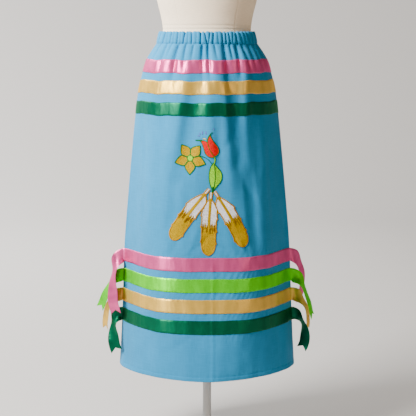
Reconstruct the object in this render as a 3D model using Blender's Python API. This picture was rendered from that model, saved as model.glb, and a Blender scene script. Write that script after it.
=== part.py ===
"""Ribbon skirt on a dress form.

A two-panel A-line skirt with an elastic casing, three satin ribbons round the hips, four round
the lower half whose ends hang free at the side seams, and an embroidered flower with three
feathers. It hangs on a smooth limbless dress form that stands on a pole and a round base.

Metres, +Z up. The front faces -Y, and the origin is the middle of the base's underside.
Heights on the skirt are given as a drop below the waistband's top edge.
"""

import math
from collections import namedtuple

import bpy

# ---- driving dimensions ----
WAIST_Z = 1.205  # the waistband's top edge above the floor
BAND_HEIGHT = 0.0335
SKIRT_LENGTH = 0.967
TOP_RIBBON = 0.0365  # heights of the two ribbon widths as they lie on the cloth
LOW_RIBBON = 0.0388

# ---- wall thicknesses and gaps ----
CLOTH = 0.0015
BAND_WALL = 0.0030  # two cloths and the elastic between them
SATIN = 0.0010
STITCHING = 0.0010
GAP = 0.0003
SEAM = GAP / 2 + CLOTH  # the outer faces' distance from the plane of the side seams
FRONT, BACK = -1, 1

# ---- the skirt's horizontal sections ----
# half: half width; front, back: depths from the side seams' plane; power, edge: the outline's
# shape, depth * (1 - u^power)^edge; gather: how far the gathers stand out and in.
Section = namedtuple("Section", "drop half front back power edge gather")
SECTIONS = (
    Section(0.000, 0.1335, 0.0975, 0.0975, 2.0, 0.50, 0.0026),
    Section(0.018, 0.1375, 0.0990, 0.0990, 2.0, 0.50, 0.0030),
    Section(0.034, 0.1420, 0.1000, 0.1010, 2.0, 0.50, 0.0020),
    Section(0.055, 0.1560, 0.1060, 0.1090, 2.0, 0.52, 0.0036),
    Section(0.080, 0.1705, 0.1140, 0.1190, 2.0, 0.56, 0.0030),
    Section(0.125, 0.1850, 0.1230, 0.1290, 2.1, 0.65, 0.0020),
    Section(0.170, 0.1955, 0.1270, 0.1340, 2.2, 0.74, 0.0011),
    Section(0.230, 0.2035, 0.1290, 0.1360, 2.3, 0.85, 0.0005),
    Section(0.320, 0.2130, 0.1290, 0.1370, 2.8, 1.05, 0.0000),
    Section(0.460, 0.2268, 0.1325, 0.1410, 3.4, 1.30, 0.0000),
    Section(0.620, 0.2405, 0.1400, 0.1490, 3.9, 1.46, 0.0000),
    Section(0.720, 0.2450, 0.1480, 0.1560, 3.8, 1.38, 0.0000),
    Section(0.800, 0.2486, 0.1560, 0.1630, 3.3, 1.18, 0.0000),
    Section(0.860, 0.2515, 0.1650, 0.1700, 2.6, 0.92, 0.0000),
    Section(0.967, 0.2584, 0.1840, 0.1850, 1.7, 0.60, 0.0000),
)

# ---- the gathers, as widths of the folds from one side seam to the other ----
GATHER_WIDTHS = (1.1, 0.8, 1.2, 0.9, 1.3, 0.9, 1.1, 0.8, 1.2, 0.9, 1.0, 0.8)
GATHER_SWING = 0.35  # how unevenly the gathers stand out
GATHER_TURN = 2.4

# ---- the largest soft folds: a ridge is positive and a trough negative ----
# across: -1 is the side seam at the left as one faces the panel, +1 the one at the right
Fold = namedtuple("Fold", "side across_top drop_top across_foot drop_foot width depth")
FOLDS = (
    Fold(FRONT, -0.06, 0.04, -0.27, 0.43, 0.15, -0.0080),
    Fold(FRONT, -0.28, 0.10, -0.44, 0.46, 0.16, 0.0030),
    Fold(FRONT, 0.08, 0.05, 0.02, 0.44, 0.12, 0.0050),
    Fold(FRONT, 0.12, 0.04, 0.26, 0.46, 0.11, 0.0052),
    Fold(FRONT, 0.34, 0.03, 0.33, 0.45, 0.13, -0.0095),
    Fold(FRONT, 0.48, 0.06, 0.42, 0.44, 0.12, 0.0060),
    Fold(FRONT, 0.44, 0.34, 0.47, 0.64, 0.09, -0.0060),
    Fold(FRONT, 0.56, 0.38, 0.56, 0.66, 0.09, 0.0050),
    Fold(FRONT, 0.60, 0.08, 0.60, 0.74, 0.11, 0.0055),
    Fold(FRONT, -0.62, 0.06, -0.66, 0.56, 0.20, 0.0030),
    Fold(FRONT, -0.34, 0.36, -0.30, 0.62, 0.10, -0.0016),
    Fold(BACK, -0.50, 0.05, -0.58, 0.60, 0.18, 0.0060),
    Fold(BACK, -0.20, 0.05, -0.28, 0.52, 0.16, -0.0080),
    Fold(BACK, 0.08, 0.06, 0.12, 0.66, 0.16, 0.0060),
    Fold(BACK, 0.34, 0.05, 0.42, 0.48, 0.15, -0.0075),
    Fold(BACK, 0.62, 0.08, 0.66, 0.70, 0.16, 0.0050),
)

# ---- ribbons, from their top edge ----
Ribbon = namedtuple("Ribbon", "name drop height colour")
PINK = (0.81, 0.28, 0.46)
LIME = (0.29, 0.78, 0.05)
GOLD = (0.87, 0.62, 0.27)
GREEN = (0.0, 0.22, 0.09)
TOP_RIBBONS = (
    Ribbon("pink_top", 0.0765, TOP_RIBBON, PINK),
    Ribbon("gold_top", 0.1335, TOP_RIBBON, GOLD),
    Ribbon("green_top", 0.1925, TOP_RIBBON, GREEN),
)
LOW_RIBBONS = (
    Ribbon("pink_low", 0.6215, LOW_RIBBON, PINK),
    Ribbon("lime_low", 0.6808, LOW_RIBBON, LIME),
    Ribbon("gold_low", 0.7395, LOW_RIBBON, GOLD),
    Ribbon("green_low", 0.7980, LOW_RIBBON, GREEN),
)
PLAIN_DROPS = (0.300, 0.380, 0.460, 0.540, 0.900)  # the panels' rows between the ribbons

# ---- the ribbons' free ends ----
# out: -1 left, 1 right. reach: how far out the fall hangs; rise: how far the turn comes down;
# fore: how far the fall hangs to the front of the seam; lean, swing: how far the tip hangs out and
# to the front past the fall; length: seam to tip; yaw: the fall's turn from facing the front, with
# its outer edge to the back when positive, at its top and at its tip.
Tail = namedtuple("Tail", "ribbon out reach rise fore lean swing length yaw_top yaw_tip")
TAILS = (
    Tail("pink_low", -1, 0.030, 0.030, 0.026, -0.009, 0.006, 0.200, 42, 36),
    Tail("lime_low", -1, 0.044, 0.038, -0.006, 0.031, 0.000, 0.146, 66, 54),
    Tail("gold_low", -1, 0.045, 0.034, -0.019, 0.005, 0.000, 0.143, 64, 60),
    Tail("green_low", -1, 0.028, 0.022, 0.014, -0.014, 0.020, 0.120, 50, 32),
    Tail("pink_low", 1, 0.034, 0.030, -0.030, -0.007, 0.000, 0.176, 56, 66),
    Tail("lime_low", 1, 0.038, 0.036, 0.020, 0.024, -0.004, 0.150, 76, 68),
    Tail("gold_low", 1, 0.042, 0.036, -0.004, 0.003, 0.000, 0.144, 68, 68),
    Tail("green_low", 1, 0.032, 0.026, 0.016, -0.010, 0.010, 0.122, -54, -50),
)
TAIL_STEPS = 11
NOTCH = 0.013  # depth of the swallowtail cut

# ---- the dress form, by its height above the waist ----
Level = namedtuple("Level", "rise half front back power")
FORM_LEVELS = (
    Level(-0.295, 0.148, 0.096, 0.102, 2.2),
    Level(-0.285, 0.156, 0.104, 0.110, 2.2),
    Level(-0.250, 0.163, 0.110, 0.117, 2.2),
    Level(-0.200, 0.165, 0.112, 0.120, 2.2),
    Level(-0.140, 0.159, 0.108, 0.115, 2.15),
    Level(-0.085, 0.147, 0.100, 0.105, 2.1),
    Level(-0.040, 0.1320, 0.0915, 0.0945, 2.05),
    Level(0.000, 0.1238, 0.0875, 0.0870, 2.0),
    Level(0.030, 0.1268, 0.0905, 0.0870, 2.0),
    Level(0.087, 0.1400, 0.1010, 0.0930, 2.1),
    Level(0.140, 0.1490, 0.1150, 0.0980, 2.1),
    Level(0.190, 0.1550, 0.1270, 0.1020, 2.1),
    Level(0.230, 0.1590, 0.1280, 0.1050, 2.15),
    Level(0.275, 0.1650, 0.1160, 0.1060, 2.2),
    Level(0.315, 0.1700, 0.0990, 0.1030, 2.25),
    Level(0.345, 0.1650, 0.0860, 0.0970, 2.2),
    Level(0.368, 0.1470, 0.0760, 0.0890, 2.1),
    Level(0.385, 0.1180, 0.0690, 0.0800, 2.0),
    Level(0.399, 0.0900, 0.0620, 0.0710, 2.0),
    Level(0.414, 0.0700, 0.0570, 0.0630, 2.0),
    Level(0.435, 0.0590, 0.0540, 0.0570, 2.0),
    Level(0.480, 0.0545, 0.0525, 0.0545, 2.0),
)
FORM_SIDES = 36
PLATE_X = 0.158  # the flats at the shoulders that the arm plates cover
PLATE_RISE = 0.300
PLATE_HALF_HEIGHT = 0.055
PLATE_HALF_DEPTH = 0.044
PLATE_WALL = 0.003
CAP_RADII = (0.0540, 0.0530)
CAP_HEIGHT = 0.012

# ---- the stand ----
POLE_RADIUS = 0.0125
BASE_RADIUS = 0.170
BASE_HEIGHT = 0.008
HUB_RADIUS = 0.024
HUB_HEIGHT = 0.050
EDGE_ROUND = 0.003
ROUND_SIDES = 36

# ---- the motif: places are metres right of the panel's middle and drops below the waist ----
FLOWER_AT = (-0.0463, 0.3442)
FLOWER_RADIUS = 0.0455
PETALS = 5
PETAL_TURN = 52  # degrees from the right to the first petal's tip
TULIP_FOOT = (0.0140, 0.3415)
LEAF_TOP = (0.0205, 0.3430)
LEAF_FOOT = (0.0160, 0.4370)
FEATHER_LENGTH = 0.175
FEATHER_HALF_WIDTH = 0.0222
Feather = namedtuple("Feather", "name across drop heading")
FEATHERS = (
    Feather("left", 0.0058, 0.4287, -126.6),
    Feather("middle", 0.0113, 0.4390, -92.7),
    Feather("right", 0.0209, 0.4360, -60.8),
)


# ---- helpers ----
def clear_scene():
    for obj in list(bpy.data.objects):
        bpy.data.objects.remove(obj)


def material(name, colour, roughness, metallic=0.0):
    made = bpy.data.materials.get(name) or bpy.data.materials.new(name)
    made.use_nodes = True
    shader = made.node_tree.nodes["Principled BSDF"]
    shader.inputs["Base Color"].default_value = (*colour, 1.0)
    shader.inputs["Roughness"].default_value = roughness
    shader.inputs["Metallic"].default_value = metallic
    return made


def smooth_step(value):
    value = min(max(value, 0.0), 1.0)
    return value * value * (3 - 2 * value)


def table_at(table, place):
    """A row between a table's rows, by a cubic that doesn't overshoot. The first column is the place."""
    keys = [row[0] for row in table]
    place = min(max(place, keys[0]), keys[-1])
    i = max(k for k in range(len(keys) - 1) if keys[k] <= place)
    step = keys[i + 1] - keys[i]
    share = (place - keys[i]) / step

    def slope(column, k):
        if k <= 0 or k >= len(keys) - 1:
            return 0.0
        before = (table[k][column] - table[k - 1][column]) / (keys[k] - keys[k - 1])
        after = (table[k + 1][column] - table[k][column]) / (keys[k + 1] - keys[k])
        return 0.0 if before * after <= 0 else 2 * before * after / (before + after)

    values = [place]
    for column in range(1, len(table[0])):
        a, b = table[i][column], table[i + 1][column]
        start, end = slope(column, i) * step, slope(column, i + 1) * step
        if i == 0:
            start = b - a
        if i == len(keys) - 2:
            end = b - a
        cubic = (
            (2 * share**3 - 3 * share**2 + 1) * a
            + (share**3 - 2 * share**2 + share) * start
            + (3 * share**2 - 2 * share**3) * b
            + (share**3 - share**2) * end
        )
        values.append(cubic)
    return type(table[0])(*values)


def add_mesh(name, points, faces, finish, smooth=True):
    mesh = bpy.data.meshes.new(name)
    mesh.from_pydata([tuple(p) for p in points], [], faces)
    mesh.materials.append(finish)
    if smooth:
        mesh.shade_smooth()
    obj = bpy.data.objects.new(name, mesh)
    bpy.context.scene.collection.objects.link(obj)
    return obj


def wall(name, faces, outer, inner, finish):
    """A closed wall: outer faces, the same faces turned round inside, and a rim on every open edge."""
    count = len(outer)
    ways = {(f[i], f[(i + 1) % len(f)]) for f in faces for i in range(len(f))}
    rims = [(b, a, a + count, b + count) for a, b in sorted(ways) if (b, a) not in ways]
    insides = [tuple(i + count for i in reversed(f)) for f in faces]
    return add_mesh(name, outer + inner, list(faces) + insides + rims, finish)


def grid_faces(rows, columns, closed=False):
    """Triangles of a grid of points, seen from the side where its rows run down and its columns right."""
    faces = []
    for r in range(rows - 1):
        for c in range(columns if closed else columns - 1):
            right = (c + 1) % columns
            a, b = r * columns + c, (r + 1) * columns + c
            far, d = (r + 1) * columns + right, r * columns + right
            faces += [(a, b, far), (a, far, d)]
    return faces


# ---- the skirt's surface ----
CURVE_STEPS = 120


def section_curve(side, drop):
    """Points of the outline at that drop, seam to seam, and how far along it each one is."""
    s = table_at(SECTIONS, drop)
    depth = s.front if side == FRONT else s.back
    points = []
    for k in range(CURVE_STEPS + 1):
        u = math.sin(math.pi * (k / CURVE_STEPS - 0.5))
        bulge = max(1 - abs(u) ** s.power, 0.0) ** s.edge
        points.append((-side * s.half * u, side * (SEAM + depth * bulge)))
    along = [0.0]
    for a, b in zip(points, points[1:]):
        along.append(along[-1] + math.dist(a, b))
    return points, along


def gather_columns():
    """Where the valleys and ridges are, from -1 to +1 across a panel, and how far each swings."""
    total, edge, columns = sum(GATHER_WIDTHS), 0.0, []
    for i, width in enumerate(GATHER_WIDTHS):
        uneven = 1 + GATHER_SWING * math.sin(GATHER_TURN * i + 1)
        columns.append((edge, -uneven))
        columns.append((edge + width / 2, uneven))
        edge += width
    columns.append((edge, -1.0))
    placed = [(2 * at / total - 1, swing) for at, swing in columns]
    placed[0] = (-1.0, 0.0)
    placed[-1] = (1.0, 0.0)
    return placed


def fold_height(side, across, drop):
    height = 0.0
    for fold in FOLDS:
        run = (drop - fold.drop_top) / (fold.drop_foot - fold.drop_top)
        if fold.side != side or not 0 < run < 1:
            continue
        centre = fold.across_top + run * (fold.across_foot - fold.across_top)
        off = abs(across - centre) / fold.width
        if off < 1:
            height += fold.depth * math.sin(math.pi * run) * math.cos(math.pi * off / 2) ** 2
    return height


def cloth_row(side, drop, columns, lift=0.0):
    """Points of one row of cloth, moved out by lift, and never over the plane of the side seams."""
    points, along = section_curve(side, drop)
    gather = table_at(SECTIONS, drop).gather
    row, k = [], 0
    for across, swing in columns:
        goal = along[-1] * (across + 1) / 2
        while k < len(along) - 2 and along[k + 1] < goal:
            k += 1
        (x0, y0), (x1, y1) = points[k], points[k + 1]
        share = (goal - along[k]) / (along[k + 1] - along[k])
        length = math.dist((x0, y0), (x1, y1))
        normal = (y1 - y0) / length, (x0 - x1) / length
        out = lift + swing * gather + fold_height(side, across, drop)
        y = y0 + share * (y1 - y0) + out * normal[1]
        y = side * max(side * y, GAP / 2)
        row.append((x0 + share * (x1 - x0) + out * normal[0], y, WAIST_Z - drop))
    return row


def cloth_grid(side, drops, lift=0.0):
    columns = gather_columns()
    return [p for drop in drops for p in cloth_row(side, drop, columns, lift)]


def panel_drops():
    edges = [BAND_HEIGHT + GAP, SKIRT_LENGTH, *PLAIN_DROPS]
    for ribbon in TOP_RIBBONS + LOW_RIBBONS:
        edges += [ribbon.drop, ribbon.drop + ribbon.height]
    return sorted(edges)


def make_panels(finish):
    drops, columns = panel_drops(), len(gather_columns())
    faces = grid_faces(len(drops), columns)
    for side, name in ((FRONT, "skirt_front"), (BACK, "skirt_back")):
        wall(name, faces, cloth_grid(side, drops), cloth_grid(side, drops, -CLOTH), finish)


def make_waistband(finish):
    """The elastic casing, one tube all round, in line with the panels' gathers."""
    columns = gather_columns()[:-1]
    drops = (0.0, BAND_HEIGHT / 2, BAND_HEIGHT)

    def ring(lift):
        return [
            p
            for drop in drops
            for side in (FRONT, BACK)
            for p in cloth_row(side, drop, columns, lift)
        ]

    faces = grid_faces(len(drops), 2 * len(columns), closed=True)
    wall("waistband", faces, ring(0.0), ring(-BAND_WALL), finish)


def make_ribbons():
    columns = len(gather_columns())
    for ribbon in TOP_RIBBONS + LOW_RIBBONS:
        finish = material(f"satin_{ribbon.name.split('_')[0]}", ribbon.colour, 0.3)
        drops = (ribbon.drop, ribbon.drop + ribbon.height)
        for side, word in ((FRONT, "front"), (BACK, "back")):
            inner = cloth_grid(side, drops, GAP)
            outer = cloth_grid(side, drops, GAP + SATIN)
            wall(f"ribbon_{ribbon.name}_{word}", grid_faces(2, columns), outer, inner, finish)


# ---- the ribbons' free ends ----
def unit(v):
    length = math.sqrt(sum(a * a for a in v))
    return tuple(a / length for a in v)


def cross(a, b):
    return (
        a[1] * b[2] - a[2] * b[1],
        a[2] * b[0] - a[0] * b[2],
        a[0] * b[1] - a[1] * b[0],
    )


def tail_line(tail):
    """Centre points of a free end, evenly spaced, and each one's share of the turn, from 0 to 1."""
    turn = [k / 40 for k in range(41)]
    points = []
    for a in turn:
        angle = a * math.pi / 2
        points.append(
            (
                tail.reach * math.sin(angle),
                tail.fore * smooth_step(a),
                -tail.rise * (1 - math.cos(angle)),
                a,
            )
        )
    spent = sum(math.dist(p[:3], q[:3]) for p, q in zip(points, points[1:]))
    rest = tail.length - spent
    for k in range(1, 41):
        b = k / 40
        out = tail.reach + tail.lean * b**1.6
        fore = tail.fore + tail.swing * b**1.6
        points.append((out, fore, -tail.rise - rest * b, 1 + b))
    along = [0.0]
    for p, q in zip(points, points[1:]):
        along.append(along[-1] + math.dist(p[:3], q[:3]))
    line, k = [], 0
    for n in range(TAIL_STEPS):
        goal = tail.length * n / (TAIL_STEPS - 1)
        while k < len(along) - 2 and along[k + 1] < goal:
            k += 1
        share = min((goal - along[k]) / (along[k + 1] - along[k]), 1.0)
        line.append(tuple(a + share * (b - a) for a, b in zip(points[k], points[k + 1])))
    return line


def tail_rings(tail, start):
    """Pairs of edge points, and the face's direction at each. Out is away from the seam."""
    line = tail_line(tail)
    rings = []
    for i, (out, fore, fall, turned) in enumerate(line):
        before, after = line[max(i - 1, 0)], line[min(i + 1, len(line) - 1)]
        way = unit(
            (
                tail.out * (after[0] - before[0]),
                -(after[1] - before[1]),
                after[2] - before[2],
            )
        )
        if i == 0:
            way = (float(tail.out), 0.0, 0.0)  # straight on from the seam
        roll = math.pi / 2 * smooth_step(turned)
        drift = max(turned - 1, 0.0)
        yaw = math.radians(tail.yaw_top + drift * (tail.yaw_tip - tail.yaw_top))
        level = (tail.out * math.cos(yaw), math.sin(yaw), 0.0)
        width = [math.sin(roll) * level[k] + (math.cos(roll) if k == 2 else 0.0) for k in range(3)]
        slip = sum(a * b for a, b in zip(width, way))
        width = unit([a - slip * b for a, b in zip(width, way)])
        face = cross(way, width)
        centre = (start[0] + tail.out * out, start[1] - fore, start[2] + fall)
        rings.append((centre, width, face, way))
    return rings


def make_tails():
    """Each free end is a strip of three points across, so that its tip can be notched."""
    for tail in TAILS:
        ribbon = next(r for r in LOW_RIBBONS if r.name == tail.ribbon)
        middle = ribbon.drop + ribbon.height / 2
        edges = (ribbon.drop, ribbon.drop + ribbon.height)
        half = max(abs(x) for x, _, _ in cloth_grid(FRONT, edges, GAP + SATIN))
        start = (
            tail.out * (half + GAP),
            -(SEAM + GAP + SATIN / 2),
            WAIST_Z - middle,
        )
        rings = tail_rings(tail, start)
        sheets = []
        for lift in (SATIN / 2, -SATIN / 2):
            points = []
            for n, (centre, width, face, way) in enumerate(rings):
                for share in (-0.5, 0.0, 0.5):
                    cut = NOTCH if n == len(rings) - 1 and share == 0 else 0.0
                    points.append(
                        tuple(
                            centre[k]
                            + share * ribbon.height * width[k]
                            + lift * face[k]
                            - cut * way[k]
                            for k in range(3)
                        )
                    )
            sheets.append(points)
        colour, _ = tail.ribbon.split("_")
        word = "left" if tail.out < 0 else "right"
        finish = material(f"satin_{colour}", ribbon.colour, 0.3)
        wall(f"tail_{colour}_{word}", grid_faces(len(rings), 3), *sheets, finish)


# ---- the motif ----
def motif_rows():
    """The panel's rows from the last upper ribbon to the first lower one."""
    top = TOP_RIBBONS[-1].drop + TOP_RIBBONS[-1].height
    return [drop for drop in panel_drops() if top <= drop <= LOW_RIBBONS[0].drop]


def stitch_on(name, outline, finish, layer=0):
    """A plate of stitching: the front panel moved out, cut to the outline as seen from the front.
    A layer above 0 lies over another plate."""
    base = 1.5 * GAP + layer * (STITCHING + GAP)
    drops = motif_rows()
    outer, inner = (cloth_grid(FRONT, drops, lift) for lift in (base + STITCHING, base))
    faces = grid_faces(len(drops), len(gather_columns()))
    plate = wall(name, faces, outer, inner, finish)

    turn = sum(x0 * d1 - x1 * d0 for (x0, d0), (x1, d1) in zip(outline, outline[1:] + outline[:1]))
    ring = outline if turn < 0 else outline[::-1]
    ends = [[(x, y, WAIST_Z - drop) for x, drop in ring] for y in (-1.0, 0.0)]
    cutter = wall(f"{name}_cutter", [tuple(range(len(ring)))], *ends, finish)
    cutter.hide_render = True
    cutter.display_type = "WIRE"
    cut = plate.modifiers.new("outline", "BOOLEAN")
    cut.operation = "INTERSECT"
    cut.solver = "EXACT"
    cut.object = cutter


def petal_flower():
    """Five petals with pointed tips: the radius swings between the tips and the notches between them."""
    outline = []
    steps = 8
    for petal in range(PETALS):
        for k in range(steps):
            share = k / steps
            off = abs(2 * share - 1)
            radius = FLOWER_RADIUS * (0.56 + 0.26 * (1 - off) ** 0.6 + 0.18 * (1 - off) ** 4)
            angle = math.radians(PETAL_TURN + 360 / PETALS * (petal + share - 0.5))
            outline.append(
                (
                    FLOWER_AT[0] + radius * math.cos(angle),
                    FLOWER_AT[1] - radius * math.sin(angle),
                )
            )
    return outline


def bezier(a, b, c, d, steps=6):
    """Points from a up to but not including d."""
    points = []
    for k in range(steps):
        t = k / steps
        shares = (1 - t) ** 3, 3 * t * (1 - t) ** 2, 3 * t * t * (1 - t), t**3
        points.append(tuple(sum(s * p[i] for s, p in zip(shares, (a, b, c, d))) for i in (0, 1)))
    return points


def tulip_flower():
    """A closed cup with two pointed petals that open to the left."""
    x, drop = TULIP_FOOT
    foot = (x, drop)
    left = (x - 0.045, drop - 0.048)
    dip = (x - 0.012, drop - 0.042)
    right = (x + 0.001, drop - 0.070)
    return (
        bezier(foot, (x - 0.020, drop - 0.001), (x - 0.020, drop - 0.036), left)
        + bezier(left, (x - 0.034, drop - 0.049), (x - 0.022, drop - 0.046), dip)
        + bezier(dip, (x - 0.012, drop - 0.052), (x - 0.008, drop - 0.060), right)
        + bezier(right, (x + 0.004, drop - 0.046), (x + 0.044, drop - 0.004), foot)
    )


def leaf_pair():
    """Two leaves that share a foot, on a short stem."""
    (x, top), (foot_x, foot) = LEAF_TOP, LEAF_FOOT
    neck_right, neck_left = (x + 0.003, top), (x - 0.003, top)
    widest = (foot_x + 0.025, top + 0.046)
    foot_right, foot_left = (foot_x + 0.004, foot), (foot_x - 0.004, foot - 0.003)
    fork = (x - 0.004, top + 0.016)
    return (
        bezier(neck_right, (x + 0.001, top + 0.014), (foot_x + 0.026, top + 0.020), widest)
        + bezier(widest, (foot_x + 0.024, foot - 0.030), (foot_x + 0.010, foot - 0.014), foot_right)
        + bezier(foot_right, (foot_x, foot + 0.001), (foot_x - 0.002, foot), foot_left, 2)
        + bezier(foot_left, (foot_x - 0.010, foot - 0.036), (foot_x - 0.016, top + 0.030), fork)
        + bezier(fork, (x - 0.002, top + 0.010), (x - 0.002, top + 0.006), neck_left, 3)
    )


def feather_outline(feather):
    """A quill, then a blade that widens fast, runs nearly straight and ends round."""
    heading = math.radians(feather.heading)
    ahead = (math.cos(heading), -math.sin(heading))
    beside = (-ahead[1], ahead[0])
    quill, neck = 0.11, 0.0050
    shares = [0.0, quill] + [quill + (1 - quill) * k / 16 for k in range(1, 17)]

    def half_width(share):
        if share <= quill:
            return neck
        blade = (share - quill) / (1 - quill)
        swell = min(1.0, (blade / 0.18) ** 0.6)
        close = max(0.0, 1 - max(0.0, (blade - 0.72) / 0.28) ** 2.2) ** 0.5
        return max(neck, FEATHER_HALF_WIDTH * (1.00 - 0.10 * blade) * swell) * close

    def edge(share, way):
        reach, out = FEATHER_LENGTH * share, way * half_width(share)
        return (
            feather.across + reach * ahead[0] + out * beside[0],
            feather.drop + reach * ahead[1] + out * beside[1],
        )

    return [edge(s, 1) for s in shares] + [edge(s, -1) for s in reversed(shares[:-1])]


def make_motif():
    yellow = material("thread_yellow", (0.92, 0.55, 0.02), 0.5)
    red = material("thread_red", (0.70, 0.03, 0.03), 0.5)
    green = material("thread_green", (0.32, 0.62, 0.10), 0.5)
    stitch_on("motif_flower", petal_flower(), yellow)
    stitch_on("motif_tulip", tulip_flower(), red)
    stitch_on("motif_leaves", leaf_pair(), green, layer=1)
    for feather in FEATHERS:
        layer = 1 if feather.name == "middle" else 0
        stitch_on(f"motif_feather_{feather.name}", feather_outline(feather), yellow, layer)


# ---- the dress form and its stand ----
def form_ring(level):
    ring = []
    for k in range(FORM_SIDES):
        angle = 2 * math.pi * k / FORM_SIDES
        c, s = math.cos(angle), math.sin(angle)
        depth = level.back if s > 0 else level.front
        x = level.half * math.copysign(abs(c) ** (2 / level.power), c)
        y = depth * math.copysign(abs(s) ** (2 / level.power), s)
        ring.append((min(max(x, -PLATE_X), PLATE_X), y, WAIST_Z + level.rise))
    return ring


def make_torso(finish):
    points = [p for level in FORM_LEVELS for p in form_ring(level)]
    faces = []
    for r in range(len(FORM_LEVELS) - 1):
        for c in range(FORM_SIDES):
            right = (c + 1) % FORM_SIDES
            a, b = r * FORM_SIDES + c, r * FORM_SIDES + right
            faces.append((a, b, b + FORM_SIDES, a + FORM_SIDES))
    top = (len(FORM_LEVELS) - 1) * FORM_SIDES
    faces.append(tuple(reversed(range(FORM_SIDES))))
    faces.append(tuple(top + k for k in range(FORM_SIDES)))
    add_mesh("form_torso", points, faces, finish)


def turned(name, profile, finish, sides=ROUND_SIDES, stretch=(1.0, 1.0)):
    """A solid turned from (radius, height) points, bottom to top, first and last on flat faces."""
    points, faces = [], []
    for radius, height in profile:
        for k in range(sides):
            angle = 2 * math.pi * k / sides
            points.append(
                (
                    stretch[0] * radius * math.cos(angle),
                    stretch[1] * radius * math.sin(angle),
                    height,
                )
            )
    for r in range(len(profile) - 1):
        for k in range(sides):
            right = (k + 1) % sides
            a, b = r * sides + k, r * sides + right
            faces.append((a, b, b + sides, a + sides))
    faces.append(tuple(reversed(range(sides))))
    faces.append(tuple((len(profile) - 1) * sides + k for k in range(sides)))
    made = add_mesh(name, points, faces, finish)
    made.data.set_sharp_from_angle(angle=math.radians(40))
    return made


def make_arm_plate(name, way, finish):
    """An oval plate on a shoulder's flat, turned about Z and laid on its side."""
    plate = turned(
        name,
        ((1.0, 0.0), (1.0, PLATE_WALL / 2), (0.97, PLATE_WALL)),
        finish,
        32,
        (PLATE_HALF_HEIGHT, PLATE_HALF_DEPTH),
    )
    plate.rotation_euler = (0, way * math.pi / 2, 0)
    plate.location = (way * (PLATE_X + GAP), 0, WAIST_Z + PLATE_RISE)


def make_form():
    linen = material("form_linen", (0.80, 0.70, 0.56), 0.8)
    wood = material("form_wood", (0.55, 0.38, 0.22), 0.45)
    steel = material("stand_paint", (0.62, 0.61, 0.59), 0.4)
    make_torso(linen)
    make_arm_plate("form_plate_left", -1, wood)
    make_arm_plate("form_plate_right", 1, wood)
    neck = WAIST_Z + FORM_LEVELS[-1].rise + GAP
    profile = (
        (0.97, neck),
        (1.0, neck + 0.002),
        (1.0, neck + CAP_HEIGHT - 0.003),
        (0.95, neck + CAP_HEIGHT),
    )
    turned("form_neck_cap", profile, wood, stretch=CAP_RADII)
    under = WAIST_Z + FORM_LEVELS[0].rise
    foot = HUB_HEIGHT + GAP
    turned("stand_pole", ((POLE_RADIUS, foot), (POLE_RADIUS, under - GAP)), steel, 24)
    base = (
        (BASE_RADIUS - 0.001, 0.0),
        (BASE_RADIUS, 0.001),
        (BASE_RADIUS, BASE_HEIGHT - EDGE_ROUND),
        (BASE_RADIUS - EDGE_ROUND, BASE_HEIGHT),
        (HUB_RADIUS + EDGE_ROUND, BASE_HEIGHT),
        (HUB_RADIUS, BASE_HEIGHT + EDGE_ROUND),
        (HUB_RADIUS, HUB_HEIGHT - 0.002),
        (HUB_RADIUS - 0.002, HUB_HEIGHT),
    )
    turned("stand_base", base, steel)


def main():
    clear_scene()
    cotton = material("cotton_blue", (0.13, 0.45, 0.66), 0.85)
    make_panels(cotton)
    make_waistband(cotton)
    make_ribbons()
    make_tails()
    make_motif()
    make_form()


main()
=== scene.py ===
"""The looks of a ribbon skirt on a dress form: cloth, satin ribbons, stitching and embroidery.

Everything on the skirt is worked out from one surface for each panel. A place on a panel is
(across, drop): across is -1 at the seam on the left as one faces the panel and +1 at the other,
and drop is the height below the waistband's top edge, in metres.
"""

import math
from collections import namedtuple
from functools import partial

import bpy
import numpy as np
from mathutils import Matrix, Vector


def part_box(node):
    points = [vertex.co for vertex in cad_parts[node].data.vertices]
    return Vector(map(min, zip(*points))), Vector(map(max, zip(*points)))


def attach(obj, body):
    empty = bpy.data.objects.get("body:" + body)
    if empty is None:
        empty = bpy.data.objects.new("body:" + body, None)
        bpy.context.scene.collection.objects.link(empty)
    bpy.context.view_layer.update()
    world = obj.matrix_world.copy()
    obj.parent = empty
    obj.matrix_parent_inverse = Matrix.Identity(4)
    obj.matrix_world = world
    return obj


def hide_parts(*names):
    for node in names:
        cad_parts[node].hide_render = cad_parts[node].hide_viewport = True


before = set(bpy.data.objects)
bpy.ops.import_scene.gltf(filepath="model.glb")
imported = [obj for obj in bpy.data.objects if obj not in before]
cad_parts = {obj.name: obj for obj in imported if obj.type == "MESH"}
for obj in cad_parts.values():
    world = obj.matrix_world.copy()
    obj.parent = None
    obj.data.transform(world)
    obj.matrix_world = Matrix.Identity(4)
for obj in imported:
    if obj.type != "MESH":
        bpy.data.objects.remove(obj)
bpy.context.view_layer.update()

# ---------------------------------------------------------------- sizes
WAIST_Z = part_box("waistband")[1][2]
BAND_HEIGHT = WAIST_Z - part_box("waistband")[0][2]
SKIRT_LENGTH = WAIST_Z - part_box("skirt_front")[0][2]
CLOTH = 0.0012
SEAM = 0.0016  # the outer faces' distance from the plane of the side seams
FRONT, BACK = -1, 1
HEM = 0.0135  # depth of the turned hem
HEM_LINE = SKIRT_LENGTH - HEM  # drop of the turned hem's upper edge
HEM_STITCH = HEM_LINE + 0.0016
HEM_STEP = 0.0006  # the turned hem stands out by its second layer
HEM_GROOVE, HEM_GROOVE_WIDTH = 0.0009, 0.0014
BAND_GROOVE, BAND_GROOVE_WIDTH = 0.0012, 0.0022
CASING_EDGE_RISE = 0.70  # the share of its relief by which the casing's top edge rises and dips
CASING_FULLNESS = 1.9  # how many times finer the weave is drawn along the gathered casing
CASING_CLOTH = 0.0008

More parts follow.
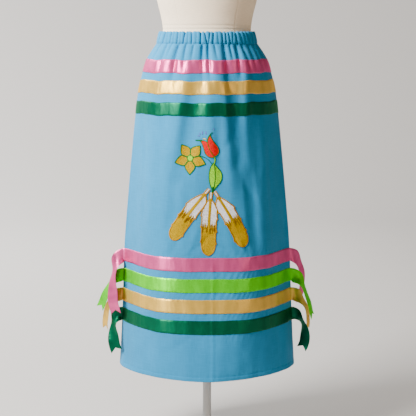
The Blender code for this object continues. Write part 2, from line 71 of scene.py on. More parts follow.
# The panels' horizontal sections, as in the CAD model: depth * (1 - u^power)^edge.
Section = namedtuple("Section", "drop half front back power edge")
SECTIONS = (
    Section(0.000, 0.1335, 0.0975, 0.0975, 2.0, 0.50),
    Section(0.018, 0.1375, 0.0990, 0.0990, 2.0, 0.50),
    Section(0.034, 0.1420, 0.1000, 0.1010, 2.0, 0.50),
    Section(0.055, 0.1560, 0.1060, 0.1090, 2.0, 0.52),
    Section(0.080, 0.1705, 0.1140, 0.1190, 2.0, 0.56),
    Section(0.125, 0.1850, 0.1230, 0.1290, 2.1, 0.65),
    Section(0.170, 0.1955, 0.1270, 0.1340, 2.2, 0.74),
    Section(0.230, 0.2035, 0.1290, 0.1360, 2.3, 0.85),
    Section(0.320, 0.2130, 0.1290, 0.1370, 2.8, 1.05),
    Section(0.460, 0.2268, 0.1325, 0.1410, 3.4, 1.30),
    Section(0.620, 0.2405, 0.1400, 0.1490, 3.9, 1.46),
    Section(0.720, 0.2450, 0.1480, 0.1560, 3.8, 1.38),
    Section(0.800, 0.2486, 0.1560, 0.1630, 3.3, 1.18),
    Section(0.860, 0.2515, 0.1650, 0.1700, 2.6, 0.92),
    Section(0.967, 0.2584, 0.1840, 0.1850, 1.7, 0.60),
)

# Creases that the elastic presses into the casing. lean is how far each strays on its way down.
Crease = namedtuple("Crease", "across lean width depth")
CASING = (
    Crease(-0.930, 0.00, 0.028, 0.0035),
    Crease(-0.823, -0.02, 0.015, 0.0041),
    Crease(-0.700, -0.03, 0.014, 0.0056),
    Crease(-0.620, 0.01, 0.013, 0.0019),
    Crease(-0.561, -0.01, 0.012, 0.0035),
    Crease(-0.500, 0.00, 0.011, 0.0016),
    Crease(-0.443, 0.00, 0.013, 0.0041),
    Crease(-0.390, 0.01, 0.011, 0.0016),
    Crease(-0.337, -0.02, 0.012, 0.0062),
    Crease(-0.275, 0.00, 0.011, 0.0016),
    Crease(-0.220, 0.01, 0.015, 0.0041),
    Crease(-0.150, 0.00, 0.013, 0.0012),
    Crease(-0.087, 0.00, 0.013, 0.0062),
    Crease(-0.013, 0.04, 0.011, 0.0062),
    Crease(0.040, -0.02, 0.010, 0.0043),
    Crease(0.097, -0.01, 0.017, 0.0053),
    Crease(0.165, 0.01, 0.013, 0.0016),
    Crease(0.232, 0.00, 0.012, 0.0062),
    Crease(0.284, 0.00, 0.011, 0.0062),
    Crease(0.337, 0.02, 0.012, 0.0047),
    Crease(0.390, -0.02, 0.010, 0.0025),
    Crease(0.448, 0.01, 0.013, 0.0062),
    Crease(0.529, 0.03, 0.014, 0.0041),
    Crease(0.595, 0.01, 0.012, 0.0035),
    Crease(0.665, 0.02, 0.013, 0.0043),
    Crease(0.750, 0.00, 0.013, 0.0035),
    Crease(0.850, 0.02, 0.017, 0.0050),
    Crease(0.935, 0.00, 0.024, 0.0037),
)

# Gathers that run down from the casing: foot is the drop where each has faded out.
Gather = namedtuple("Gather", "across foot_across foot width depth")
GATHERS = (
    Gather(-0.880, -0.900, 0.115, 0.045, 0.0036),
    Gather(-0.750, -0.770, 0.095, 0.028, 0.0036),
    Gather(-0.615, -0.600, 0.125, 0.030, 0.0051),
    Gather(-0.530, -0.535, 0.080, 0.022, 0.0027),
    Gather(-0.415, -0.410, 0.160, 0.036, 0.0096),
    Gather(-0.300, -0.280, 0.110, 0.024, 0.0054),
    Gather(-0.185, -0.195, 0.095, 0.024, 0.0036),
    Gather(-0.062, -0.050, 0.150, 0.028, 0.0081),
    Gather(0.018, 0.040, 0.150, 0.028, 0.0084),
    Gather(0.110, 0.140, 0.085, 0.022, 0.0039),
    Gather(0.240, 0.250, 0.170, 0.036, 0.0099),
    Gather(0.330, 0.340, 0.100, 0.024, 0.0045),
    Gather(0.425, 0.400, 0.150, 0.034, 0.0093),
    Gather(0.520, 0.560, 0.130, 0.026, 0.0054),
    Gather(0.635, 0.640, 0.120, 0.030, 0.0063),
    Gather(0.740, 0.735, 0.110, 0.026, 0.0048),
    Gather(0.850, 0.800, 0.125, 0.032, 0.0054),
)
GATHER_FULLNESS = 0.0016  # the cloth between the gathers stands out by this

# Large soft folds, each from its top to its foot: a ridge is positive and a trough negative.
Fold = namedtuple("Fold", "side across_top drop_top across_foot drop_foot width depth")
FOLDS = (
    Fold(FRONT, -0.06, 0.04, -0.27, 0.43, 0.15, -0.0092),
    Fold(FRONT, -0.28, 0.10, -0.44, 0.46, 0.16, 0.0030),
    Fold(FRONT, 0.08, 0.05, 0.02, 0.44, 0.12, 0.0050),
    Fold(FRONT, 0.12, 0.04, 0.26, 0.46, 0.11, 0.0052),
    Fold(FRONT, 0.28, 0.03, 0.36, 0.42, 0.12, -0.0064),
    Fold(FRONT, 0.47, 0.04, 0.44, 0.30, 0.10, 0.0050),
    Fold(FRONT, 0.44, 0.34, 0.47, 0.64, 0.09, -0.0048),
    Fold(FRONT, 0.56, 0.38, 0.56, 0.66, 0.09, 0.0050),
    Fold(FRONT, 0.66, 0.20, 0.62, 0.74, 0.11, 0.0048),
    Fold(FRONT, -0.62, 0.06, -0.66, 0.56, 0.20, 0.0030),
    Fold(FRONT, -0.34, 0.36, -0.30, 0.62, 0.10, -0.0016),
    Fold(BACK, -0.50, 0.05, -0.58, 0.60, 0.18, 0.0060),
    Fold(BACK, -0.20, 0.05, -0.28, 0.52, 0.16, -0.0080),
    Fold(BACK, 0.08, 0.06, 0.12, 0.66, 0.16, 0.0060),
    Fold(BACK, 0.34, 0.05, 0.42, 0.48, 0.15, -0.0075),
    Fold(BACK, 0.62, 0.08, 0.66, 0.70, 0.16, 0.0050),
)
MOST_RELIEF = 0.0105

# Short wrinkles: centre, half length along the crease, half width, turn from upright, depth.
Wrinkle = namedtuple("Wrinkle", "side across drop long wide turn depth")
WRINKLES = (
    Wrinkle(FRONT, 0.40, 0.420, 0.050, 0.011, 12, -0.0020),
    Wrinkle(FRONT, 0.50, 0.470, 0.060, 0.010, 24, -0.0018),
    Wrinkle(FRONT, 0.26, 0.560, 0.026, 0.007, 30, -0.0018),
    Wrinkle(FRONT, 0.20, 0.580, 0.024, 0.006, 52, 0.0016),
    Wrinkle(FRONT, 0.15, 0.596, 0.022, 0.006, 64, -0.0016),
    Wrinkle(FRONT, 0.33, 0.588, 0.022, 0.006, 28, 0.0014),
    Wrinkle(FRONT, 0.38, 0.596, 0.020, 0.006, 22, -0.0014),
    Wrinkle(FRONT, -0.06, 0.586, 0.028, 0.007, -50, -0.0016),
    Wrinkle(FRONT, -0.12, 0.560, 0.030, 0.008, -34, 0.0012),
    Wrinkle(FRONT, -0.16, 0.596, 0.024, 0.006, -40, 0.0012),
    Wrinkle(FRONT, -0.34, 0.500, 0.060, 0.014, -14, -0.0012),
    Wrinkle(FRONT, -0.30, 0.590, 0.040, 0.009, -30, -0.0010),
    Wrinkle(FRONT, -0.74, 0.340, 0.110, 0.010, 4, -0.0010),
    Wrinkle(FRONT, -0.70, 0.480, 0.070, 0.012, 8, -0.0010),
    Wrinkle(FRONT, 0.30, 0.270, 0.050, 0.010, -24, -0.0022),
    Wrinkle(FRONT, 0.34, 0.345, 0.026, 0.012, -14, -0.0020),
    Wrinkle(FRONT, 0.04, 0.300, 0.040, 0.012, 20, 0.0010),
    Wrinkle(FRONT, -0.20, 0.860, 0.050, 0.010, -52, -0.0010),
    Wrinkle(FRONT, 0.30, 0.900, 0.060, 0.012, 34, -0.0009),
    Wrinkle(FRONT, 0.72, 0.840, 0.050, 0.012, 20, -0.0010),
    Wrinkle(BACK, -0.40, 0.440, 0.060, 0.012, 20, -0.0018),
    Wrinkle(BACK, 0.22, 0.500, 0.060, 0.012, -18, 0.0016),
    Wrinkle(BACK, 0.50, 0.360, 0.050, 0.010, 12, -0.0016),
    Wrinkle(BACK, -0.12, 0.570, 0.035, 0.009, 40, -0.0012),
    Wrinkle(BACK, 0.05, 0.870, 0.050, 0.010, -40, -0.0010),
)
# The front was folded in half once: a pressed line runs down its middle from the ribbons.
PRESSED_X, PRESSED_FROM, PRESSED_HEIGHT, PRESSED_WIDTH = 0.0165, 0.600, 0.0011, 0.0045

COLUMNS = 230
# Rows of a panel: how far apart they are down to each drop.
ROW_STEPS = (
    (0.130, 0.0022),
    (0.260, 0.0042),
    (0.600, 0.0076),
    (0.850, 0.0050),
    (0.952, 0.0050),
    (0.967, 0.0012),
)

# ---------------------------------------------------------------- ribbons
Ribbon = namedtuple("Ribbon", "name colour")
TOP_RIBBONS = (
    Ribbon("pink_top", "pink"),
    Ribbon("gold_top", "gold"),
    Ribbon("green_top", "green"),
)
LOW_RIBBONS = (
    Ribbon("pink_low", "pink"),
    Ribbon("lime_low", "lime"),
    Ribbon("gold_low", "gold"),
    Ribbon("green_low", "green"),
)
RIBBON_LIFT = 0.0008
RIBBON_PUFF = 0.0005
RIBBON_THICKNESS = 0.0004
RIBBON_ROWS = 9
STITCH_INSET = 0.0018

# A free end's centreline is a Bezier curve from its seam. Its three other controls are given as
# (out, fore, fall): out from the skirt's side, fore to the front, fall downwards. Its width is
# upright at the seam and rolls level, and then yaw is how far the outer edge points to the back.
Tail = namedtuple("Tail", "ribbon out handle elbow tip yaw_top yaw_tip")
TAILS = (
    Tail("pink_low", -1, 0.026, (0.046, 0.024, 0.075), (0.024, 0.030, 0.170), 76, 36),
    Tail("lime_low", -1, 0.030, (0.050, -0.006, 0.045), (0.071, -0.006, 0.104), 70, 54),
    Tail("gold_low", -1, 0.030, (0.060, -0.024, 0.040), (0.053, -0.019, 0.112), 70, 62),
    Tail("green_low", -1, 0.024, (0.038, 0.012, 0.045), (0.014, 0.034, 0.106), 72, 28),
    Tail("pink_low", 1, 0.024, (0.056, -0.050, 0.050), (0.032, -0.044, 0.156), 70, 62),
    Tail("lime_low", 1, 0.026, (0.044, 0.032, 0.045), (0.066, 0.024, 0.122), 76, 70),
    Tail("gold_low", 1, 0.028, (0.058, -0.006, 0.038), (0.050, -0.004, 0.112), 74, 70),
    Tail("green_low", 1, 0.024, (0.056, 0.016, 0.045), (0.026, 0.026, 0.101), -76, -48),
)
TAIL_TURN = 0.42  # the share of a free end's length over which it rolls from upright to level
TAIL_STEPS = 56
NOTCH = 0.011

# ---------------------------------------------------------------- the dress form
Level = namedtuple("Level", "rise half front back power")
FORM_LEVELS = (
    Level(-0.295, 0.148, 0.096, 0.102, 2.2),
    Level(-0.285, 0.156, 0.104, 0.110, 2.2),
    Level(-0.250, 0.163, 0.110, 0.117, 2.2),
    Level(-0.200, 0.165, 0.112, 0.120, 2.2),
    Level(-0.140, 0.159, 0.108, 0.115, 2.15),
    Level(-0.085, 0.147, 0.100, 0.105, 2.1),
    Level(-0.040, 0.1320, 0.0915, 0.0945, 2.05),
    Level(0.000, 0.1238, 0.0875, 0.0870, 2.0),
    Level(0.030, 0.1268, 0.0905, 0.0870, 2.0),
    Level(0.087, 0.1400, 0.1010, 0.0930, 2.1),
    Level(0.140, 0.1490, 0.1150, 0.0980, 2.1),
    Level(0.190, 0.1550, 0.1270, 0.1020, 2.1),
    Level(0.230, 0.1590, 0.1280, 0.1050, 2.15),
    Level(0.275, 0.1650, 0.1160, 0.1060, 2.2),
    Level(0.315, 0.1700, 0.0990, 0.1030, 2.25),
    Level(0.345, 0.1650, 0.0860, 0.0970, 2.2),
    Level(0.368, 0.1470, 0.0760, 0.0890, 2.1),
    Level(0.385, 0.1180, 0.0690, 0.0800, 2.0),
    Level(0.399, 0.0900, 0.0620, 0.0710, 2.0),
    Level(0.414, 0.0700, 0.0570, 0.0630, 2.0),
    Level(0.435, 0.0590, 0.0540, 0.0570, 2.0),
    Level(0.480, 0.0545, 0.0525, 0.0545, 2.0),
)
PLATE_X = 0.158
FORM_SIDES = 120
FORM_ROW = 0.006
FORM_RADIUS = 0.13  # near enough all round, for laying out the linen's weave
# Seams of the cover: turns in degrees from the right side towards the back, and rises.
FORM_UPRIGHT_SEAMS = (52, 90, 128, 180, 232, 308)
FORM_LEVEL_SEAMS = (0.0065, 0.0165)
FORM_SEAM_WIDTH = 0.0012
FORM_SEAM_TURN = 0.55  # half width of an upright seam, in degrees
FORM_SEAM_DEPTH = 0.0007
FORM_SHARP = 50  # degrees; edges that turn more than this, as at its top and foot, stay sharp

# ---------------------------------------------------------------- the studio
# A round cove: a pale floor that curves up into a wall on every side, as far as cameras go.
COVE_RADIUS, COVE_CURVE, COVE_TOP = 6.8, 3.0, 3.8
COVE_SIDES, COVE_STEPS = 96, 24
COVE_COLOUR = (0.52, 0.50, 0.475)
WORLD_COLOUR, WORLD_STRENGTH = (1.0, 0.83, 0.64), 0.20

Light = namedtuple("Light", "name place target size watts colour")
LIGHTS = (
    Light("key", (-1.60, -1.04, 2.35), (0, 0, WAIST_Z + 0.12), (0.9, 1.2), 218, (1.0, 0.985, 0.97)),
    Light("fill", (1.9, -2.6, 1.6), (0, 0, WAIST_Z - 0.25), (0.5, 1.8), 15, (1.0, 0.74, 0.52)),
    Light("backdrop", (-2.2, 2.4, 3.4), (-1.2, 4.6, 0), (3.0, 3.0), 470, (0.97, 0.98, 1.0)),
)
CAMERA_PLACE = (0.003, -3.0, WAIST_Z)
CAMERA_DOWN = 9.54  # degrees below the level
SENSOR, LENS = 36.0, 90.9  # mm


# ---------------------------------------------------------------- helpers
def smooth_step(value):
    value = np.clip(value, 0.0, 1.0)
    return value * value * (3 - 2 * value)


def table_at(table, places):
    """Every column of a table at those places, by cubics that don't overshoot its rows."""
    rows = np.array(table, float)
    keys, values = rows[:, 0], rows[:, 1:]
    steps = np.diff(keys)
    rises = np.diff(values, axis=0) / steps[:, None]
    slopes = np.zeros_like(values)
    slopes[0], slopes[-1] = rises[0], rises[-1]
    same = rises[:-1] * rises[1:] > 0
    with np.errstate(divide="ignore", invalid="ignore"):
        mean = 2 * rises[:-1] * rises[1:] / (rises[:-1] + rises[1:])
    slopes[1:-1] = np.where(same, mean, 0.0)
    places = np.clip(np.asarray(places, float), keys[0], keys[-1])
    i = np.clip(np.searchsorted(keys, places, side="right") - 1, 0, len(keys) - 2)
    step = steps[i][..., None]
    t = ((places - keys[i]) / steps[i])[..., None]
    return (
        (2 * t**3 - 3 * t**2 + 1) * values[i]
        + (t**3 - 2 * t**2 + t) * step * slopes[i]
        + (3 * t**2 - 2 * t**3) * values[i + 1]
        + (t**3 - t**2) * step * slopes[i + 1]
    )


def bell(values, centre, width):
    return np.exp(-(((values - centre) / width) ** 2))


def unit(vectors):
    return vectors / np.maximum(np.linalg.norm(vectors, axis=-1, keepdims=True), 1e-12)


def grid_faces(rows, columns, closed=False):
    """Quads of a grid of points, seen from the side where its rows run down and its columns right."""
    across = columns if closed else columns - 1
    r, c = np.meshgrid(np.arange(rows - 1), np.arange(across), indexing="ij")
    right = (c + 1) % columns
    corners = (r * columns + c, (r + 1) * columns + c, (r + 1) * columns + right, r * columns + right)
    return np.stack(corners, axis=-1).reshape(-1, 4)


def length_along(line):
    """The distance from a line's start to each of its points."""
    return np.concatenate([[0], np.cumsum(np.linalg.norm(np.diff(line, axis=0), axis=1))])


def point_at(line, along, distance):
    """Points at those distances along a line."""
    columns = [np.interp(distance, along, line[:, k]) for k in range(line.shape[1])]
    return np.stack(columns, axis=-1)


def add_mesh(name, points, faces, material, uv=None):
    """uv has a row for each point."""
    mesh = bpy.data.meshes.new(name)
    corners = faces if isinstance(faces, list) else faces.tolist()
    mesh.from_pydata(np.asarray(points, float).reshape(-1, 3).tolist(), [], corners)
    mesh.materials.append(material)
    mesh.shade_smooth()
    if uv is not None:
        layer = mesh.uv_layers.new(name="UVMap")
        corner = np.empty(len(mesh.loops), np.int32)
        mesh.loops.foreach_get("vertex_index", corner)
        layer.data.foreach_set("uv", np.asarray(uv, np.float32).reshape(-1, 2)[corner].ravel())
    made = bpy.data.objects.new(name, mesh)
    bpy.context.scene.collection.objects.link(made)
    return made


def make_piece(name, points, faces, material, nodes=(), uv=None):
    """A mesh that rides on the root body."""
    piece = add_mesh(name, points, faces, material, uv)
    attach(piece, "root")
    if nodes:
        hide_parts(*nodes)
    return piece


def thicken(piece, thickness):
    """Gives a sheet its thickness, inwards from the face it was drawn as."""
    solid = piece.modifiers.new("thickness", "SOLIDIFY")
    solid.thickness = thickness
    solid.offset = -1.0
    solid.use_quality_normals = True


# ---------------------------------------------------------------- the skirt's surface
def panel_drops():
    """The drops of a panel's rows, from its top edge to its hem."""
    drops = [0.0]
    for foot, step in ROW_STEPS:
        count = max(1, round((foot - drops[-1]) / step))
        drops += list(np.linspace(drops[-1], foot, count + 1)[1:])
    drops = np.array(drops)
    return np.append(drops[drops < SKIRT_LENGTH - 0.001], SKIRT_LENGTH)


def casing_relief(across, drops):
    """How far the casing's creases pull the cloth in, between the top edge and the stitching."""
    height = np.full((len(drops), len(across)), 0.0012)
    down = drops[:, None] / BAND_HEIGHT
    for crease in CASING:
        off = (across[None, :] - crease.across - crease.lean * (down - 0.45)) / crease.width
        height -= crease.depth * np.exp(-(np.abs(off) ** 1.4))
    return height


def gather_relief(side, across, drops):
    """The gathers below the casing. The back's are the front's in mirror order, moved a little."""
    height = np.zeros((len(drops), len(across)))
    below = drops[:, None] - BAND_HEIGHT
    for gather in GATHERS:
        run = below / (gather.foot - BAND_HEIGHT)
        grow = smooth_step(run / 0.2 + 0.45) * (1 - smooth_step((run - 0.35) / 0.75))
        start, foot = gather.across, gather.foot_across
        if side == BACK:
            start, foot = 0.03 - start, 0.03 - foot
        centre = start + np.clip(run, 0, 1.2) * (foot - start)
        width = gather.width * (0.7 + 0.7 * np.clip(run, 0, 1))
        off = (across[None, :] - centre) / width
        height -= gather.depth * grow * np.exp(-(np.abs(off) ** 1.5))
    fade = 1 - smooth_step((drops[:, None] - 0.06) / 0.09)
    return height + GATHER_FULLNESS * fade


def fold_relief(side, across, drops):
    height = np.zeros((len(drops), len(across)))
    for fold in FOLDS:
        if fold.side != side:
            continue
        run = ((drops - fold.drop_top) / (fold.drop_foot - fold.drop_top))[:, None]
        centre = fold.across_top + run * (fold.across_foot - fold.across_top)
        off = np.clip(np.abs(across[None, :] - centre) / fold.width, 0, 1)
        body = np.sin(np.pi * np.clip(run, 0, 1)) * np.cos(np.pi * off / 2) ** 2
        height += fold.depth * body
    return height


def wrinkle_relief(side, across, drops, half_arcs):
    height = np.zeros((len(drops), len(across)))
    x = across[None, :] * half_arcs[:, None]
    for wrinkle in WRINKLES:
        if wrinkle.side != side:
            continue
        turn = math.radians(wrinkle.turn)
        dx = x - wrinkle.across * half_arcs[:, None]
        dy = drops[:, None] - wrinkle.drop
        along = dy * math.cos(turn) + dx * math.sin(turn)
        beside = dx * math.cos(turn) - dy * math.sin(turn)
        beside = beside + 0.15 * along**2 / wrinkle.long
        height += wrinkle.depth * np.exp(-((along / wrinkle.long) ** 2) - (beside / wrinkle.wide) ** 2)
    return height


def pucker_wave(x):
    """The beat of the small puckers along a line of stitching, for a distance along the cloth."""
    return np.sin(2 * np.pi * (x / 0.0165 + 0.35 * np.sin(x / 0.027)))


def ripple_relief(side, across, drops, half_arcs):
    """Small unevenness of worn cotton: long soft waves, and puckers along the stitched ribbons."""
    x = across[None, :] * half_arcs[:, None]
    y = drops[:, None]
    place = x + 0.13 * side
    below = smooth_step((y - 0.20) / 0.15)
    soft = (
        np.sin(2 * np.pi * (place / 0.083 + 0.6 * np.sin(y / 0.11) + y / 0.9))
        + 0.7 * np.sin(2 * np.pi * (place / 0.047 - y / 0.31 + 0.4 * np.sin(y / 0.07)))
        + 0.5 * np.sin(2 * np.pi * (y / 0.067 + place / 0.21 + 0.5 * np.sin(place / 0.05)))
    )
    # The puckers are strongest halfway from the middle to the right seam, as one faces the panel.
    right = smooth_step((across[None, :] + 0.1) / 0.5)
    swing = 0.35 + 0.65 * right * (1 - smooth_step((across[None, :] - 0.6) / 0.3))
    slanted = pucker_wave(place + 0.5 * y)
    near = np.zeros_like(y)
    for ribbon, gap in zip(LOW_RIBBONS, (0.5, 1.0, 0.8, 0.5)):
        top, foot = ribbon_drops(ribbon)
        for edge in (top - 0.007, foot + 0.007):
            near = np.maximum(near, gap * bell(y, edge, 0.011))
    hem = bell(y, HEM_LINE, 0.010)
    height = 0.00034 * below * soft + 0.00062 * near * swing * slanted + 0.00022 * hem * pucker_wave(place)
    if side == FRONT:
        pressed = bell(x, PRESSED_X, PRESSED_WIDTH)
        height += PRESSED_HEIGHT * smooth_step((y - PRESSED_FROM) / 0.06) * pressed
    return height


def ribbon_drops(ribbon):
    low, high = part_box(f"ribbon_{ribbon.name}_front")
    return WAIST_Z - high[2], WAIST_Z - low[2]


class Panel:
    """The outer face of one panel, casing included, on a grid of drops and columns."""

    def __init__(self, side):
        self.side = side
        self.across = np.linspace(-1, 1, COLUMNS + 1)
        self.drops = panel_drops()
        self.points, self.normals, self.half_arcs = self.outline(self.drops)

    def outline(self, drops):
        rows = table_at(SECTIONS, drops)
        half, depth = rows[:, 0], rows[:, 1 if self.side == FRONT else 2]
        power, edge = rows[:, 3], rows[:, 4]
        u = np.sin(np.pi * (np.linspace(0, 1, 401) - 0.5))[None, :]
        bulge = np.maximum(1 - np.abs(u) ** power[:, None], 0) ** edge[:, None]
        x = -self.side * half[:, None] * u
        y = self.side * (SEAM + depth[:, None] * bulge)
        steps = np.hypot(np.diff(x, axis=1), np.diff(y, axis=1))
        along = np.concatenate([np.zeros((len(drops), 1)), np.cumsum(steps, axis=1)], axis=1)
        goal = (self.across + 1) / 2
        flat = np.empty((len(drops), len(goal), 2))
        for r in range(len(drops)):
            share = along[r] / along[r, -1]
            flat[r, :, 0] = np.interp(goal, share, x[r])
            flat[r, :, 1] = np.interp(goal, share, y[r])
        way = unit(np.gradient(flat, axis=1))
        out = np.stack([way[..., 1], -way[..., 0]], axis=-1)
        half_arcs = along[:, -1] / 2
        relief = self.relief(drops, half_arcs)
        flat = flat + relief[..., None] * out
        # The two panels meet at the side seams and never cross there.
        flat[..., 1] = self.side * np.maximum(self.side * flat[..., 1], SEAM)
        heights = np.broadcast_to((WAIST_Z - drops)[:, None, None], (*flat.shape[:2], 1))
        points = np.concatenate([flat, heights], axis=-1)
        down = np.gradient(points, drops, axis=0)
        right = np.gradient(points, axis=1)
        normals = unit(np.cross(down, right))
        return points, normals, half_arcs

    def relief(self, drops, half_arcs):
        casing = casing_relief(self.side * -self.across, drops)
        gathers = gather_relief(self.side, self.across, drops)
        large = gathers + fold_relief(self.side, self.across, drops)
        large = MOST_RELIEF * np.tanh(large / MOST_RELIEF)
        turn = smooth_step((drops - (BAND_HEIGHT - 0.003)) / 0.006)[:, None]
        height = (1 - turn) * casing + turn * large
        height -= BAND_GROOVE * bell(drops, BAND_HEIGHT, BAND_GROOVE_WIDTH)[:, None]
        height += turn * wrinkle_relief(self.side, self.across, drops, half_arcs)
        height += turn * ripple_relief(self.side, self.across, drops, half_arcs)
        height += HEM_STEP * smooth_step((drops - HEM_LINE) / 0.0015)[:, None]
        height -= HEM_GROOVE * bell(drops, HEM_STITCH, HEM_GROOVE_WIDTH)[:, None]
        # The side seams hold the cloth, so its relief is down to a quarter there.
        seam = 1 - smooth_step((1 - np.abs(self.across)) / 0.03)
        return height * (1 - 0.75 * seam)[None, :]

    def at(self, across, drops, lift=0.0):
        """Points over the surface at pairs of (across, drop), which broadcast together."""
        across, drops = np.broadcast_arrays(np.asarray(across, float), np.asarray(drops, float))
        column = (np.clip(across, -1, 1) + 1) / 2 * COLUMNS
        c = np.clip(column.astype(int), 0, COLUMNS - 1)
        r = np.clip(np.searchsorted(self.drops, drops, side="right") - 1, 0, len(self.drops) - 2)
        over = (column - c)[..., None]
        down = ((drops - self.drops[r]) / (self.drops[r + 1] - self.drops[r]))[..., None]

        def mixed(field):
            top = field[r, c] * (1 - over) + field[r, c + 1] * over
            foot = field[r + 1, c] * (1 - over) + field[r + 1, c + 1] * over
            return top * (1 - down) + foot * down

        return mixed(self.points) + np.asarray(lift)[..., None] * unit(mixed(self.normals))

    def across_of(self, x, drops):
        """across for a distance along the cloth from the panel's middle."""
        return np.asarray(x) / np.interp(drops, self.drops, self.half_arcs)


# ---------------------------------------------------------------- materials
def new_material(name):
    material = bpy.data.materials.new(name)
    material.use_nodes = True
    nodes, links = material.node_tree.nodes, material.node_tree.links
    return material, nodes, links, nodes["Principled BSDF"]


def set_inputs(target, **values):
    for name, value in values.items():
        target.inputs[name.replace("_", " ")].default_value = value


def node(nodes, kind, **values):
    made = nodes.new(kind)
    set_inputs(made, **values)
    return made


def reckon(nodes, links, operation, *values):
    """A maths node. Each value is a number or another node's output."""
    made = nodes.new("ShaderNodeMath")
    made.operation = operation
    for socket, value in zip(made.inputs, values):
        if isinstance(value, float):
            socket.default_value = value
        else:
            links.new(value, socket)
    return made.outputs["Value"]


def coordinates(nodes, links, scale, uv=True):
    place = nodes.new("ShaderNodeTexCoord")
    mapping = nodes.new("ShaderNodeMapping")
    mapping.inputs["Scale"].default_value = scale
    links.new(place.outputs["UV" if uv else "Object"], mapping.inputs["Vector"])
    return mapping.outputs["Vector"]


def noise(nodes, links, scale, detail, uv=True, size=1.0, distortion=0.0):
    """Noise at a scale along each axis, times one size for all."""
    made = node(nodes, "ShaderNodeTexNoise", Scale=size, Detail=detail, Distortion=distortion)
    links.new(coordinates(nodes, links, scale, uv), made.inputs["Vector"])
    return made.outputs["Fac"]


def shade(colour, factor):
    return tuple(min(channel * factor, 1.0) for channel in colour)


def dye(nodes, links, shader, colour, fac, *stops):
    """Colours a shader with shades of one colour. Each stop is (place, factor)."""
    ramp = nodes.new("ShaderNodeValToRGB")
    while len(ramp.color_ramp.elements) < len(stops):
        ramp.color_ramp.elements.new(0.5)
    for element, (place, factor) in zip(ramp.color_ramp.elements, stops):
        element.position = place
        element.color = (*shade(colour, factor), 1.0)
    links.new(fac, ramp.inputs["Fac"])
    links.new(ramp.outputs["Color"], shader.inputs["Base Color"])


def weave_height(nodes, links, thread):
    """Plain weave from two crossed waves, for coordinates in metres."""
    waves = []
    for direction in ("X", "Y"):
        wave = node(nodes, "ShaderNodeTexWave", Scale=0.5 / thread, Distortion=0.6, Detail=1.0)
        wave.bands_direction = direction
        links.new(coordinates(nodes, links, (1, 1, 1)), wave.inputs["Vector"])
        waves.append(wave.outputs["Fac"])
    return reckon(nodes, links, "MULTIPLY", *waves)


def bump(nodes, links, shader, height, strength, distance):
    made = node(nodes, "ShaderNodeBump", Strength=strength, Distance=distance)
    links.new(height, made.inputs["Height"])
    links.new(made.outputs["Normal"], shader.inputs["Normal"])
    return made


def cotton(name, colour):
    """Plain-woven cotton: matt, with slubs along both threads and slightly uneven dye."""
    material, nodes, links, shader = new_material(name)
    set_inputs(shader, Roughness=0.82, Specular_IOR_Level=0.15)
    set_inputs(shader, Sheen_Weight=0.11, Sheen_Roughness=0.55, Sheen_Tint=(1.0, 0.72, 0.52, 1))
    slub = noise(nodes, links, (420, 26, 1), 3.0)
    cross = noise(nodes, links, (30, 380, 1), 3.0)
    cloud = noise(nodes, links, (1, 1, 1), 3.0, size=9.0)
    both = reckon(nodes, links, "ADD", slub, cross)
    third = reckon(nodes, links, "DIVIDE", reckon(nodes, links, "ADD", both, cloud), 3.0)
    dye(nodes, links, shader, colour, third, (0.36, 0.88), (0.50, 1.0), (0.64, 1.12))
    weave = weave_height(nodes, links, 0.0007)
    bump(nodes, links, shader, reckon(nodes, links, "MULTIPLY_ADD", weave, 0.35, third), 0.35, 0.0004)
    return material


def satin(name, colour):
    """Satin ribbon. Its long floats run along it, so its gloss is sharp along it and wide across."""
    material, nodes, links, shader = new_material(name)
    tint = (*(0.2 + 0.8 * c / max(colour) for c in colour), 1)
    set_inputs(shader, Metallic=0.60, Roughness=0.42, Specular_IOR_Level=0.60, Specular_Tint=tint)
    set_inputs(shader, Anisotropic=0.78, Anisotropic_Rotation=0.25)
    tangent = nodes.new("ShaderNodeTangent")
    tangent.direction_type = "UV_MAP"
    tangent.uv_map = "UVMap"
    links.new(tangent.outputs["Tangent"], shader.inputs["Tangent"])
    thread = noise(nodes, links, (45, 1500, 1), 4.0)
    cloud = reckon(nodes, links, "MULTIPLY", noise(nodes, links, (38, 10, 1), 2.0), 0.65)
    mixed = reckon(nodes, links, "MULTIPLY_ADD", thread, 0.35, cloud)
    dye(nodes, links, shader, colour, mixed, (0.35, 0.80), (0.50, 1.0), (0.65, 1.18))
    soft = node(nodes, "ShaderNodeBump", Strength=0.5, Distance=0.0022)
    links.new(noise(nodes, links, (70, 26, 1), 2.0), soft.inputs["Height"])
    fine = bump(nodes, links, shader, mixed, 0.25, 0.0008)
    links.new(soft.outputs["Normal"], fine.inputs["Normal"])
    return material


def thread_material(name, colour, roughness=0.42):
    """Embroidery or sewing thread: glossy, each stitch a little different."""
    material, nodes, links, shader = new_material(name)
    tint = (*shade(colour, 1 / max(colour)), 1)
    set_inputs(shader, Roughness=roughness, Specular_IOR_Level=0.3, Specular_Tint=tint)
    cloud = noise(nodes, links, (1, 1, 1), 2.0, uv=False, size=420.0)
    dye(nodes, links, shader, colour, cloud, (0.35, 0.72), (0.52, 1.0), (0.68, 1.2))
    return material


def linen(name, colour):
    """The form's cover: fine tight linen with slubs."""
    material, nodes, links, shader = new_material(name)
    set_inputs(shader, Roughness=0.85, Specular_IOR_Level=0.2)
    slub = noise(nodes, links, (60, 900, 1), 4.0)
    dye(nodes, links, shader, colour, slub, (0.35, 0.94), (0.50, 1.0), (0.66, 1.05))
    bump(nodes, links, shader, weave_height(nodes, links, 0.0006), 0.25, 0.0003)
    return material


